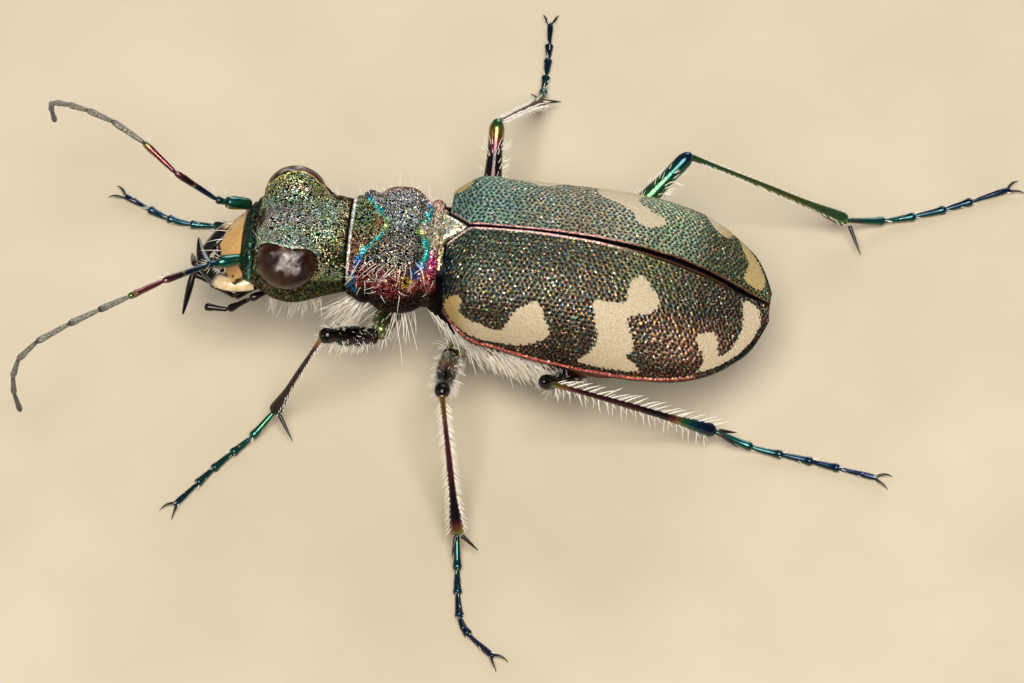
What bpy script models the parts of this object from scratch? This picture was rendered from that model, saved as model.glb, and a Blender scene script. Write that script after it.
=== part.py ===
# Tiger beetle, life size, standing still on its six feet.
#
# Sizes are in millimetres. They are measured from the middle of the front edge of the
# wing cases: -X is forward, -Y is the beetle's left and Z is the height over the floor.
# When every part is made, all are moved so that the origin lies on the floor under the
# middle of the whole animal.

import math

import bmesh
import bpy
import numpy as np
from mathutils import Matrix, Vector

MM = 0.001
FAR = 20.0
SIDES = {"left": -1, "right": 1}

# The narrow space kept between neighbouring parts.
GAP = 0.2

# Wing cases: x, half width at the side margin, height of the back, height of the margin,
# and how square the arch is across.
ELYTRA = (
    (0.05, 1.56, 4.62, 3.34, 3.20),
    (0.55, 2.03, 4.78, 3.10, 3.20),
    (1.50, 2.20, 4.84, 2.86, 2.80),
    (2.70, 2.36, 4.80, 2.68, 2.45),
    (3.90, 2.48, 4.62, 2.60, 2.30),
    (5.00, 2.51, 4.28, 2.55, 2.20),
    (6.10, 2.34, 3.76, 2.50, 2.10),
    (7.00, 1.80, 3.14, 2.45, 2.10),
    (7.58, 1.08, 2.74, 2.42, 2.10),
    (7.84, 0.40, 2.60, 2.42, 2.10),
)
ELYTRA_WALL = 0.5
ELYTRA_SKIRT = 0.12
ELYTRA_STEPS = (0, 0.03, 0.08, 0.16, 0.27, 0.39, 0.51, 0.63, 0.74, 0.84, 0.91, 0.96, 1.0)
SCUTELLUM_LENGTH = 0.55
SCUTELLUM_HALF = 0.42
SCUTELLUM_THICK = 0.5

# The fore part of the trunk: x, half width, top, bottom.
PRONOTUM = (
    (-2.12, 1.16, 4.60, 2.55),
    (-1.93, 1.36, 4.66, 2.42),
    (-1.76, 1.36, 4.55, 2.40),
    (-1.50, 1.55, 4.60, 2.38),
    (-1.10, 1.62, 4.62, 2.38),
    (-0.72, 1.52, 4.58, 2.42),
    (-0.50, 1.34, 4.46, 2.45),
    (-0.30, 1.36, 4.56, 2.46),
    (-0.15, 1.28, 4.50, 2.50),
)
PRONOTUM_POWER = 2.2

# Under the wing cases: x, half width, height where it is widest, bottom.
THORAX = (
    (0.05, 1.30, 2.75, 1.75),
    (0.60, 1.72, 2.60, 1.25),
    (1.60, 1.98, 2.42, 1.05),
    (2.80, 2.12, 2.28, 1.00),
    (4.00, 2.15, 2.20, 1.05),
)
ABDOMEN = (
    (4.20, 2.12, 2.20, 1.08),
    (5.20, 2.05, 2.16, 1.20),
    (6.20, 1.80, 2.10, 1.42),
    (7.00, 1.30, 2.10, 1.72),
    (7.40, 0.70, 2.12, 1.98),
)
BODY_POWER = 2.1
HUMP_SUNK = 0.4

# Head: x, half width, top, bottom.
HEAD = (
    (-1.85, 0.86, 4.20, 2.90),
    (-2.25, 0.98, 4.38, 2.74),
    (-2.65, 1.14, 4.54, 2.60),
    (-3.15, 1.20, 4.60, 2.50),
    (-3.75, 1.20, 4.62, 2.48),
    (-4.30, 1.16, 4.54, 2.52),
    (-4.70, 1.06, 4.28, 2.60),
    (-4.95, 0.94, 3.92, 2.72),
    (-5.06, 0.80, 3.66, 2.86),
)
HEAD_POWER = 2.3
EYE_PLACE = (-3.80, 1.04, 4.06)
EYE_RADII = (0.77, 0.66, 0.74)
EYE_TILT = 14.0
ANTENNA_PLACE = (-4.85, 0.82, 3.77)
ANTENNA_SOCKET = 0.27
LABRUM_BACK = (-5.10, 3.55)
LABRUM_FRONT = (-5.66, 3.04)
LABRUM_HALF = 0.86
LABRUM_THICK = 0.36
LABRUM_SAG = 0.10

# Jaws: each a sickle from the joint at the side of the face out, forward and in again.
MANDIBLE_JOINT = (-4.66, 0.92, 2.74)
MANDIBLE_BULGE = (-5.80, 1.34, 2.80)
MANDIBLE_TIP = (-6.10, -0.34)
MANDIBLE_RADII = (0.36, 0.33, 0.25, 0.17, 0.08)
MANDIBLE_LEVELS = {"left": 2.86, "right": 2.40}
TOOTH_RADII = (0.15, 0.12, 0.05)
TOOTH_LENGTH = 0.50

# Feelers: lengths of the joints from the head to the tip, and how their line turns
# outwards and how it rises, in degrees, at five places along it.
ANTENNA_JOINTS = (0.68, 0.26, 1.22, 1.04, 1.00, 0.92, 0.88, 0.82, 0.76, 0.70, 0.74)
ANTENNA_LINES = {
    "left": ((24, 41, 47, 5, 4), (13, 10, 17, -67, -105)),
    "right": ((-30, 27, 36, 53, 108), (23, 30, -19, -48, -80)),
}
SCAPE_RADIUS = 0.27
FLAGELLUM_RADII = (0.25, 0.16)

# Palps: joints from the mouth to the tip.
PALPS = {
    "palp_maxillary": ((-4.50, 0.72, 2.56), (-5.10, 0.86, 2.00), (-5.75, 0.62, 1.82),
                       (-6.22, 0.30, 1.86), (-6.38, 0.92, 1.30)),
    "palp_labial": ((-4.10, 0.70, 2.46), (-4.70, 1.18, 1.92), (-5.25, 1.30, 1.74),
                    (-5.80, 1.12, 1.55)),
}
PALP_RADII = (0.22, 0.15)

# Legs: hip, knee and ankle, where the foot bends and where it ends as seen from above,
# how far the thigh bows, and how thick it is. The feet lie on the floor.
LEGS = {
    "leg_front_left": dict(hip=(-1.30, -0.62, 2.04), knee=(-2.70, -2.56, 3.20),
                           ankle=(-3.88, -2.95, 0.55), foot=((-5.00, -4.25), (-5.85, -5.50)),
                           bow=-0.05, thick=0.33),
    "leg_front_right": dict(hip=(-1.30, 0.62, 2.04), knee=(-3.55, 2.10, 3.15),
                            ankle=(-5.35, 2.55, 0.55), foot=((-6.90, 2.70), (-8.45, 3.38)),
                            bow=-0.05, thick=0.33),
    "leg_middle_left": dict(hip=(0.78, -0.82, 1.22), knee=(0.30, -3.93, 3.35),
                            ankle=(0.88, -6.05, 0.55), foot=((1.02, -7.65), (2.10, -9.00)),
                            bow=-0.12, thick=0.33),
    "leg_middle_right": dict(hip=(0.78, 0.82, 1.22), knee=(0.76, 4.36, 3.10),
                             ankle=(1.56, 6.95, 0.55), foot=((1.58, 8.40), (1.52, 9.78)),
                             bow=-0.12, thick=0.33),
    "leg_hind_left": dict(hip=(3.72, -0.88, 1.10), knee=(2.68, -3.09, 2.95),
                          ankle=(6.75, -2.45, 0.55), foot=((8.80, -2.72), (10.80, -3.10)),
                          bow=-0.36, thick=0.30),
    "leg_hind_right": dict(hip=(3.72, 0.88, 1.10), knee=(5.50, 3.84, 3.10),
                           ankle=(9.40, 4.15, 0.55), foot=((11.40, 4.90), (13.35, 5.85)),
                           bow=-0.26, thick=0.30),
}
COXA_RADII = (0.52, 0.42, 0.42)
THIGH_SHAPE = ((0.0, 0.78), (0.14, 0.96), (0.35, 1.0), (0.6, 0.94), (0.82, 0.80), (1.0, 0.72))
KNEE_RADIUS = 0.29
SHIN_RADII = (0.23, 0.225, 0.245, 0.27)
FOOT_RADIUS = 0.21
FOOT_AXIS = 0.17
FOOT_JOINTS = (0.0, 0.34, 0.54, 0.70, 0.82, 1.0)
CLAW_LENGTH = 0.46
SPUR_LENGTH = 0.85


def clear_scene():
    for obj in list(bpy.data.objects):
        bpy.data.objects.remove(obj, do_unlink=True)


def finish(name, colour, metallic, roughness):
    made = bpy.data.materials.new(name)
    made.use_nodes = True
    shader = made.node_tree.nodes["Principled BSDF"]
    shader.inputs["Base Color"].default_value = (*colour, 1.0)
    shader.inputs["Metallic"].default_value = metallic
    shader.inputs["Roughness"].default_value = roughness
    return made


def along(rows, x):
    """The other columns of rows at x, on one smooth curve through them."""
    table = np.array(sorted(rows), float)
    places, values = table[:, 0], table[:, 1:]
    slopes = np.gradient(values, places, axis=0)
    k = int(np.clip(np.searchsorted(places, x) - 1, 0, len(places) - 2))
    span = places[k + 1] - places[k]
    t = (x - places[k]) / span
    return (
        values[k] * (1 + 2 * t) * (1 - t) ** 2
        + values[k + 1] * t * t * (3 - 2 * t)
        + span * slopes[k] * t * (1 - t) ** 2
        - span * slopes[k + 1] * t * t * (1 - t)
    )


def mirrored(point, side):
    return Vector((point[0], point[1] * SIDES[side], point[2]))


# Closed shapes

def object_of(bm):
    bmesh.ops.recalc_face_normals(bm, faces=bm.faces)
    mesh = bpy.data.meshes.new("piece")
    bm.to_mesh(mesh)
    bm.free()
    obj = bpy.data.objects.new("piece", mesh)
    bpy.context.scene.collection.objects.link(obj)
    return obj


def loft(rings):
    """A closed skin over rings of points that follow one another."""
    bm = bmesh.new()
    loops = [[bm.verts.new(Vector(point) * MM) for point in ring] for ring in rings]
    for near, far in zip(loops, loops[1:]):
        for k in range(len(near)):
            after = (k + 1) % len(near)
            bm.faces.new((near[k], near[after], far[after], far[k]))
    bm.faces.new(loops[0])
    bm.faces.new(loops[-1])
    return object_of(bm)


def bend(value, power):
    return math.copysign(abs(value) ** (2 / power), value)


def oval(x, half, top, bottom, sides, power):
    """A ring across the body: round, and squarer as the power grows."""
    middle, rise = (top + bottom) / 2, (top - bottom) / 2
    return [
        (x, half * bend(math.cos(a), power), middle + rise * bend(math.sin(a), power))
        for a in (2 * math.pi * (k + 0.5) / sides for k in range(sides))
    ]


def tube(path, radii, sides):
    """A limb of round section along a path, with its thickness at each point."""
    points = [Vector(p) for p in path]
    steps = [(b - a).normalized() for a, b in zip(points, points[1:])]
    middles = [(a + b).normalized() for a, b in zip(steps, steps[1:])]
    side = steps[0].orthogonal().normalized()
    turns = [2 * math.pi * k / sides for k in range(sides)]
    rings = []
    for point, way, radius in zip(points, [steps[0], *middles, steps[-1]], radii):
        side = (side - way * side.dot(way)).normalized()
        up = way.cross(side)
        rings.append([point + radius * (side * math.cos(a) + up * math.sin(a)) for a in turns])
    return loft(rings)


def ball(centre, radii, turn=None, sides=10, levels=7):
    bm = bmesh.new()
    place = Matrix.Translation(Vector(centre) * MM)
    spin = turn.to_4x4() if turn else Matrix.Identity(4)
    shape = Matrix.Diagonal((*[r * MM for r in radii], 1.0))
    bmesh.ops.create_uvsphere(
        bm, u_segments=sides, v_segments=levels, radius=1.0, matrix=place @ spin @ shape
    )
    return object_of(bm)


def block(low, high):
    bm = bmesh.new()
    middle = (Vector(low) + Vector(high)) / 2 * MM
    size = (Vector(high) - Vector(low)) * MM
    place = Matrix.Translation(middle) @ Matrix.Diagonal((*size, 1.0))
    bmesh.ops.create_cube(bm, size=1.0, matrix=place)
    return object_of(bm)


# Joining and cutting

def combine(target, others, operation):
    """Joins others to the target, or cuts them from it, in one Boolean that is applied."""
    holder = bpy.data.collections.new("operands")
    bpy.context.scene.collection.children.link(holder)
    for other in others:
        bpy.context.scene.collection.objects.unlink(other)
        holder.objects.link(other)
    boolean = target.modifiers.new(operation, "BOOLEAN")
    boolean.operation = operation
    boolean.operand_type = "COLLECTION"
    boolean.collection = holder
    boolean.solver = "EXACT"
    graph = bpy.context.evaluated_depsgraph_get()
    result = bpy.data.meshes.new_from_object(target.evaluated_get(graph))
    target.modifiers.clear()
    target.data = result
    for other in others:
        bpy.data.objects.remove(other, do_unlink=True)
    bpy.data.collections.remove(holder)
    return target


def union(pieces):
    first, *rest = pieces
    return combine(first, rest, "UNION")


def connected(vert):
    """Every corner that can be reached from this one along edges."""
    found, front = {vert}, [vert]
    while front:
        for edge in front.pop().link_edges:
            for end in edge.verts:
                if end not in found:
                    found.add(end)
                    front.append(end)
    return found


def keep_largest(obj):
    """Welds the finest slivers and drops all but the largest closed body."""
    bm = bmesh.new()
    bm.from_mesh(obj.data)
    bmesh.ops.remove_doubles(bm, verts=bm.verts, dist=0.0015 * MM)
    bmesh.ops.dissolve_degenerate(bm, edges=bm.edges, dist=0.0015 * MM)
    left, bodies = set(bm.verts), []
    while left:
        bodies.append(connected(next(iter(left))))
        left -= bodies[-1]
    largest = max(bodies, key=len)
    bmesh.ops.delete(bm, geom=[v for v in bm.verts if v not in largest], context="VERTS")
    bmesh.ops.triangulate(bm, faces=bm.faces)
    bm.to_mesh(obj.data)
    bm.free()


def part_of(obj, name, material):
    keep_largest(obj)
    obj.name = name
    obj.data.name = name
    obj.data.materials.clear()
    obj.data.materials.append(material)
    obj.data.shade_smooth()
    obj.data.set_sharp_from_angle(angle=math.radians(40))
    return obj


# Trunk

def arched(shrink, skirt, arcs):
    """Both wing cases as one closed arch, drawn in by shrink, down to skirt below the margin."""
    start, end = ELYTRA[0][0], ELYTRA[-1][0]
    rings = []
    for step in ELYTRA_STEPS:
        half, top, margin, power = along(ELYTRA, start + (end - start) * step)
        half, top = max(half - shrink, 0.12), max(top - shrink, margin + 0.12)
        x = start + (end - start - shrink) * step - 0.1 * shrink
        arch = [
            (x, half * bend(math.cos(a), power),
             margin + (top - margin) * bend(math.sin(a), power))
            for a in (math.pi * k / arcs for k in range(arcs + 1))
        ]
        low = margin - skirt
        rings.append([(x, half, low)] + arch + [(x, -half, low)])
    return loft(rings)


def scutellum(grow):
    """The small triangle between the wing cases, standing a little proud of them."""
    base, tip = ELYTRA[0][0] - grow, ELYTRA[0][0] + SCUTELLUM_LENGTH + 1.8 * grow
    half = SCUTELLUM_HALF + 1.2 * grow
    back = ELYTRA[1][2] + 0.02 + 2 * grow
    under = back - SCUTELLUM_THICK - 4 * grow
    rings = [[(x, y, z) for x, y in ((base, -half), (base, half), (tip, 0.06), (tip, -0.06))]
             for z in (under, back)]
    return loft(rings)


def elytron(side, material):
    """One wing case: half of the arched shell, hollow underneath."""
    seam = GAP / 2 * SIDES[side]
    low, high = (seam, FAR) if side == "left" else (-FAR, seam)
    other_half = block((-FAR, low, -FAR), (FAR, high, FAR))
    shell = arched(0.0, ELYTRA_SKIRT, 18)
    inside = arched(ELYTRA_WALL, 2.0, 12)
    combine(shell, [inside, other_half, scutellum(GAP)], "DIFFERENCE")
    return part_of(shell, f"elytron_{side}", material)


def under_body(rows, name, legs, material):
    """Sides and belly, and the lower hump that fills the wing cases above them."""
    front, back = rows[0][0], rows[-1][0]
    rings = []
    for x in np.linspace(front, back, 8):
        half, widest, bottom = along(rows, x)
        rings.append([
            (x, half * bend(math.cos(a), BODY_POWER),
             widest + (widest - bottom) * bend(math.sin(a), BODY_POWER))
            for a in (-math.pi * k / 12 for k in range(13))
        ])
    hump = arched(ELYTRA_WALL + GAP, rows[-1][2] - HUMP_SUNK, 10)
    outside = [
        block((-FAR, -FAR, -FAR), (front, FAR, FAR)),
        block((back, -FAR, -FAR), (FAR, FAR, FAR)),
        block((-FAR, -FAR, -FAR), (FAR, FAR, rows[0][2] - HUMP_SUNK)),
    ]
    combine(hump, outside, "DIFFERENCE")
    body = union([loft(rings), hump])
    sockets = [piece for leg in legs for piece in thigh(LEGS[leg], GAP)]
    return part_of(combine(body, sockets, "DIFFERENCE"), name, material)


def pronotum(material):
    places = np.linspace(PRONOTUM[0][0], PRONOTUM[-1][0], 12)
    shield = loft([oval(x, *along(PRONOTUM, x), 20, PRONOTUM_POWER) for x in places])
    front = HEAD[0][0]
    neck = []
    for x in np.linspace(front + 0.4, front - 1.0, 6):
        half, top, bottom = along(HEAD, min(x, front))
        neck.append(oval(x, half + GAP, top + GAP, bottom - GAP, 18, HEAD_POWER))
    sockets = [piece for leg in LEGS if "front" in leg for piece in thigh(LEGS[leg], GAP)]
    combine(shield, sockets + [loft(neck)], "DIFFERENCE")
    return part_of(shield, "pronotum", material)


# Legs

def thigh(leg, grow):
    """The hip's ball and the bowed thigh, thicker by grow where they serve as a cutter."""
    hip, knee = Vector(leg["hip"]), Vector(leg["knee"])
    path, radii = [], []
    for t, share in THIGH_SHAPE:
        path.append(hip.lerp(knee, t) + Vector((0, 0, leg["bow"] * 4 * t * (1 - t))))
        radii.append(leg["thick"] * share + grow)
    turn = Matrix.Rotation(math.atan2(knee.y - hip.y, knee.x - hip.x), 3, "Z")
    return [ball(hip, [r + grow for r in COXA_RADII], turn), tube(path, radii, 8)]


def foot(leg):
    """Five joints along the floor, each wider at its end, with the way the last one points."""
    ankle = Vector(leg["ankle"])
    middle, end = [Vector((x, y, FOOT_AXIS)) for x, y in leg["foot"]]
    landing = ankle.lerp(middle, 0.5)
    landing.z = FOOT_AXIS + 0.03
    rows = [(0.0, *ankle), (0.34, *landing), (0.70, *middle), (1.0, *end)]
    path, radii = [], []
    for first, last in zip(FOOT_JOINTS, FOOT_JOINTS[1:]):
        for part, share in ((0.08, 0.75), (0.88, 1.0)):
            t = first + part * (last - first)
            path.append(Vector(along(rows, t)))
            radii.append(FOOT_RADIUS * share * (1 - 0.12 * t))
    return tube(path, radii, 8), path[-1], (path[-1] - path[-2]).normalized()


def claws(tip, way):
    """Two hooks that spread at the end of the foot."""
    across = way.cross(Vector((0, 0, 1))).normalized()
    made = []
    for sign in SIDES.values():
        path, radii = [], []
        for t in (0.0, 0.5, 1.0):
            point = tip + way * (CLAW_LENGTH * t - 0.12) + across * sign * (0.06 + 0.26 * t)
            point.z = FOOT_AXIS - 0.05 * t
            path.append(point)
            radii.append(0.13 - 0.08 * t)
        made.append(tube(path, radii, 5))
    return made


def spurs(ankle, way):
    """Two tapered spurs at the lower end of the shin."""
    across = way.cross(Vector((0, 0, 1))).normalized()
    start = ankle + Vector((0, 0, 0.12))
    made = []
    for sign in SIDES.values():
        lean = (way + across * sign * 0.75 + Vector((0, 0, -0.12))).normalized()
        path = [start + lean * SPUR_LENGTH * t for t in (0.0, 0.5, 1.0)]
        made.append(tube(path, (0.13, 0.11, 0.05), 5))
    return made


def whole_leg(name, material):
    leg = LEGS[name]
    knee, ankle = Vector(leg["knee"]), Vector(leg["ankle"])
    way = (ankle - knee).normalized()
    joint = (KNEE_RADIUS * 1.15, KNEE_RADIUS, KNEE_RADIUS)
    shin = [knee.lerp(ankle, t) for t in (0.0, 0.3, 0.7, 1.0)]
    sole, tip, toward = foot(leg)
    pieces = thigh(leg, 0.0)
    pieces.append(ball(knee, joint, way.to_track_quat("X", "Z").to_matrix()))
    pieces.append(tube(shin, SHIN_RADII, 8))
    pieces.append(ball(ankle, (SHIN_RADII[-1] * 0.98,) * 3, None, 8, 6))
    pieces += [sole, *claws(tip, toward), *spurs(ankle, toward)]
    floor = block((-FAR, -FAR, -5), (FAR, FAR, 0))
    return part_of(combine(union(pieces), [floor], "DIFFERENCE"), name, material)


# Head

def eye(side, grow):
    tilt = Matrix.Rotation(math.radians(EYE_TILT * SIDES[side]), 3, "X")
    return ball(mirrored(EYE_PLACE, side), [r + grow for r in EYE_RADII], tilt, 16, 11)


def labrum(grow):
    """The pale upper lip: a shallow shield with a rounded front."""
    (back, high), (front, low) = LABRUM_BACK, LABRUM_FRONT
    rings = []
    for t in np.linspace(0, 1, 6):
        x = back + (front - back) * t + grow * (1 - 2 * t)
        z = high + (low - high) * t ** 1.4
        half = LABRUM_HALF * (1 - 0.42 * t ** 3) + grow
        ring = []
        for a in (2 * math.pi * (k + 0.5) / 14 for k in range(14)):
            y = half * bend(math.cos(a), 3.0)
            rise = (LABRUM_THICK / 2 + grow) * bend(math.sin(a), 2.6)
            ring.append((x, y, z - LABRUM_SAG * (y / LABRUM_HALF) ** 2 + rise))
        rings.append(ring)
    return loft(rings)


def jaw_line(side):
    """Five points of the sickle, in its own level past the middle of the face."""
    level = MANDIBLE_LEVELS[side]
    joint, bulge = Vector(MANDIBLE_JOINT), Vector(MANDIBLE_BULGE)
    tip = Vector((*MANDIBLE_TIP, level))
    points = []
    for t in (0.0, 0.25, 0.5, 0.75, 1.0):
        point = joint * (1 - t) ** 2 + bulge * 2 * t * (1 - t) + tip * t * t
        point.z = joint.z + (level - joint.z) * min(1.0, 1.6 * t)
        points.append(mirrored(point, side))
    return points


def mandible(side, material):
    path = jaw_line(side)
    inward = Vector((0.25, -SIDES[side], 0)).normalized()
    pieces = [tube(path, MANDIBLE_RADII, 8)]
    for k in (1, 2):
        root = path[k].lerp(path[k + 1], 0.35)
        reach = [root + inward * TOOTH_LENGTH * t for t in (0.0, 0.6, 1.0)]
        pieces.append(tube(reach, TOOTH_RADII, 6))
    return part_of(union(pieces), f"mandible_{side}", material)


def jaw_socket(side):
    radii = [r + GAP for r in MANDIBLE_RADII[:3]]
    return [tube(jaw_line(side)[:3], radii, 10), ball(jaw_line(side)[0], (radii[0],) * 3)]


def antenna_joints(side):
    """The places where the joints of a feeler meet."""
    turns, rises = ANTENNA_LINES[side]
    stations = [(k / 4, *pair) for k, pair in enumerate(zip(turns, rises))]
    whole = sum(ANTENNA_JOINTS)
    places, done = [mirrored(ANTENNA_PLACE, side)], 0.0
    for length in ANTENNA_JOINTS:
        turn, rise = np.radians(along(stations, (done + length / 2) / whole))
        way = Vector((
            -math.cos(turn) * math.cos(rise),
            SIDES[side] * math.sin(turn) * math.cos(rise),
            math.sin(rise),
        ))
        places.append(places[-1] + way * length)
        done += length
    return places


def jointed(places, widths, blunt, sides):
    """A tube pinched where its joints meet."""
    path, radii = [], []
    for start, end, width in zip(places, places[1:], widths):
        for part, share in ((0.10, 0.82), (0.85, 1.0)):
            path.append(start.lerp(end, part))
            radii.append(width * share)
    return tube([*path, places[-1]], [*radii, blunt], sides)


def antenna(side, material):
    places = antenna_joints(side)
    thick, thin = FLAGELLUM_RADII
    widths = [SCAPE_RADIUS, *np.linspace(thick, thin, len(ANTENNA_JOINTS) - 1).tolist()]
    base = ball(places[0], (ANTENNA_SOCKET,) * 3)
    pieces = [base, jointed(places, widths, thin * 0.5, 7)]
    return part_of(union(pieces), f"antenna_{side}", material)


def palp(kind, side, material):
    places = [mirrored(place, side) for place in PALPS[kind]]
    widths = np.linspace(*PALP_RADII, len(places) - 1).tolist()
    return part_of(jointed(places, widths, PALP_RADII[1] * 0.6, 7), f"{kind}_{side}", material)


def head(material):
    places = np.linspace(HEAD[0][0], HEAD[-1][0], 13)
    skull = loft([oval(x, *along(HEAD, x), 18, HEAD_POWER) for x in places])
    sockets = [labrum(GAP)]
    for side in SIDES:
        sockets.append(eye(side, GAP))
        sockets.append(ball(mirrored(ANTENNA_PLACE, side), (ANTENNA_SOCKET + GAP,) * 3))
        sockets += jaw_socket(side)
        for places in PALPS.values():
            sockets.append(ball(mirrored(places[0], side), (PALP_RADII[0] + GAP,) * 3))
    return part_of(combine(skull, sockets, "DIFFERENCE"), "head", material)


def stand_over_origin(parts):
    """Moves every part together, so that the floor under their middle is the origin."""
    points = np.array([tuple(v.co) for part in parts for v in part.data.vertices])
    low, high = points.min(axis=0), points.max(axis=0)
    shift = Vector((-(low[0] + high[0]) / 2, -(low[1] + high[1]) / 2, -low[2]))
    for part in parts:
        part.data.transform(Matrix.Translation(shift))
        part.data.update()


def build():
    clear_scene()
    bronze = finish("green bronze cuticle", (0.09, 0.10, 0.05), 0.8, 0.35)
    copper = finish("coppery cuticle", (0.20, 0.08, 0.05), 0.8, 0.35)
    wing = finish("dark bronze wing case", (0.07, 0.05, 0.035), 0.5, 0.45)
    green = finish("green metallic feeler", (0.03, 0.12, 0.09), 0.8, 0.3)
    cream = finish("cream horn", (0.75, 0.60, 0.38), 0.0, 0.4)
    lens = finish("dark brown eye", (0.06, 0.02, 0.015), 0.0, 0.1)
    dark = finish("dark glossy horn", (0.02, 0.015, 0.02), 0.2, 0.25)
    violet = finish("violet and copper leg", (0.08, 0.04, 0.05), 0.8, 0.35)

    parts = [whole_leg(name, violet) for name in LEGS]
    rear_legs = [name for name in LEGS if "front" not in name]
    hind_legs = [name for name in LEGS if "hind" in name]
    parts.append(under_body(THORAX, "thorax", rear_legs, bronze))
    parts.append(under_body(ABDOMEN, "abdomen", hind_legs, bronze))
    parts.append(pronotum(copper))
    parts.append(part_of(scutellum(0.0), "scutellum", copper))
    parts.append(head(bronze))
    parts.append(part_of(labrum(0.0), "labrum", cream))
    for side in SIDES:
        parts.append(elytron(side, wing))
        parts.append(part_of(eye(side, 0.0), f"eye_{side}", lens))
        parts.append(mandible(side, dark))
        parts.append(antenna(side, green))
        parts += [palp(kind, side, green) for kind in PALPS]
    stand_over_origin(parts)


build()
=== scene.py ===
import math

import bpy
import bmesh
import numpy as np
from mathutils import Matrix, Vector, noise


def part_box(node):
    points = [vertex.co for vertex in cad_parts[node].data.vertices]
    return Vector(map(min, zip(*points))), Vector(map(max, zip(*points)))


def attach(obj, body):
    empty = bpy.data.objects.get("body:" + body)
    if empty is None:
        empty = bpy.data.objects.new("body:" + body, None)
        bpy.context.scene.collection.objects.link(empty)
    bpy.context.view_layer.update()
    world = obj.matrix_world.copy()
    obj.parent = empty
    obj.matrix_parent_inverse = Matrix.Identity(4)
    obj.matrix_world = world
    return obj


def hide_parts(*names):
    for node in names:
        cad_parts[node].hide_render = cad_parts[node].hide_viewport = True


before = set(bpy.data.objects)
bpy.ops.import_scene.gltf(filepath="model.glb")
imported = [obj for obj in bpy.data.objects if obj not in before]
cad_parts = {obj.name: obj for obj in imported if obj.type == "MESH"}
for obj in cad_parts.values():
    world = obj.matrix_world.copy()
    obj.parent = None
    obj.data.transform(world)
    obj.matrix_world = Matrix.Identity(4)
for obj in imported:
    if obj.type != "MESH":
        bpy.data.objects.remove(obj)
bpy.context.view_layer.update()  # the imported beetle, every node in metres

mm = 0.001
sides = {"left": -1, "right": 1}

# All places below are in millimetres from the middle of the front edge of the wing cases:
# -X is forward, -Y is the beetle's left and Z is the height over the floor.
scutellumLow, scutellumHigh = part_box("scutellum")
wingFront = 0.05
bodyPlace = np.array((
    scutellumLow.x / mm - wingFront,
    (scutellumLow.y + scutellumHigh.y) / 2 / mm,
    0.0,
))


# Camera, light and floor

cameraView = {
    "turn": 6.0,  # degrees round the body from straight at its left side
    "rise": 55.0,  # degrees over the floor
    "target": (1.57, 0.06, 0.0),
    "distance": 220.0,
    "pixelsPerMm": 40.9,
    "pictureWidth": 1024,
    "sensor": 36.0,
}

studioLight = {
    "floor": "#C6BAA4",
    "sky": "#E8EDF4",
    "skyStrength": 0.15,
    # place and size in millimetres, power in watts
    "softboxes": {
        "overhead": ((15, -120, 280), 200, 1.35, "#FFF9F0"),
        "behind": ((60, 320, 150), 200, 0.55, "#F4F8FF"),
        "front": ((-300, -120, 120), 160, 0.12, "#FFF3E4"),
    },
}


# sRGB hex to linear values
def tone(code):
    parts = [int(code[k:k + 2], 16) / 255 for k in (1, 3, 5)]
    linear = [c / 12.92 if c <= 0.04045 else ((c + 0.055) / 1.055) ** 2.4 for c in parts]
    return (*linear, 1.0)


def setCamera():
    view = cameraView
    turn, rise = math.radians(view["turn"]), math.radians(view["rise"])
    back = Vector((math.sin(turn) * math.cos(rise), -math.cos(turn) * math.cos(rise), math.sin(rise)))
    target = Vector(np.array(view["target"]) + bodyPlace) * mm
    lens = bpy.data.cameras.new("macroLens")
    lens.sensor_width = view["sensor"]
    lens.lens = view["pixelsPerMm"] * view["distance"] * view["sensor"] / view["pictureWidth"]
    lens.clip_start = 0.01
    lens.clip_end = 10
    camera = bpy.data.objects.new("camera", lens)
    bpy.context.scene.collection.objects.link(camera)
    camera.location = target + back * view["distance"] * mm
    camera.rotation_euler = back.to_track_quat("Z", "Y").to_euler()
    bpy.context.scene.camera = camera


def setLights():
    world = bpy.data.worlds.new("softSky")
    world.use_nodes = True
    sky = world.node_tree.nodes["Background"]
    sky.inputs["Color"].default_value = tone(studioLight["sky"])
    sky.inputs["Strength"].default_value = studioLight["skyStrength"]
    bpy.context.scene.world = world
    bpy.context.scene.view_settings.view_transform = "Standard"
    for name, (place, size, power, colour) in studioLight["softboxes"].items():
        light = bpy.data.lights.new(name, "AREA")
        light.size = size * mm
        light.energy = power
        light.color = tone(colour)[:3]
        lamp = bpy.data.objects.new(name, light)
        bpy.context.scene.collection.objects.link(lamp)
        lamp.location = Vector(place) * mm
        lamp.rotation_euler = Vector(place).to_track_quat("Z", "Y").to_euler()


# Materials

# A node with its settings and links. A value is a plain one, or the socket that feeds it.
def addNode(tree, kind, inputs=None, **settings):
    node = tree.nodes.new("ShaderNode" + kind)
    for key, value in settings.items():
        setattr(node, key, value)
    for key, value in (inputs or {}).items():
        if isinstance(value, bpy.types.NodeSocket):
            tree.links.new(value, node.inputs[key])
        else:
            node.inputs[key].default_value = value
    return node


# A material with constant values on its shader's own sockets
def newMaterial(name, **values):
    material = bpy.data.materials.new(name)
    material.use_nodes = True
    tree = material.node_tree
    shader = tree.nodes["Principled BSDF"]
    for key, value in values.items():
        shader.inputs[key.replace("_", " ")].default_value = value
    return material, tree, shader


def perMm(size):
    return 1 / (size * mm)


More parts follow.
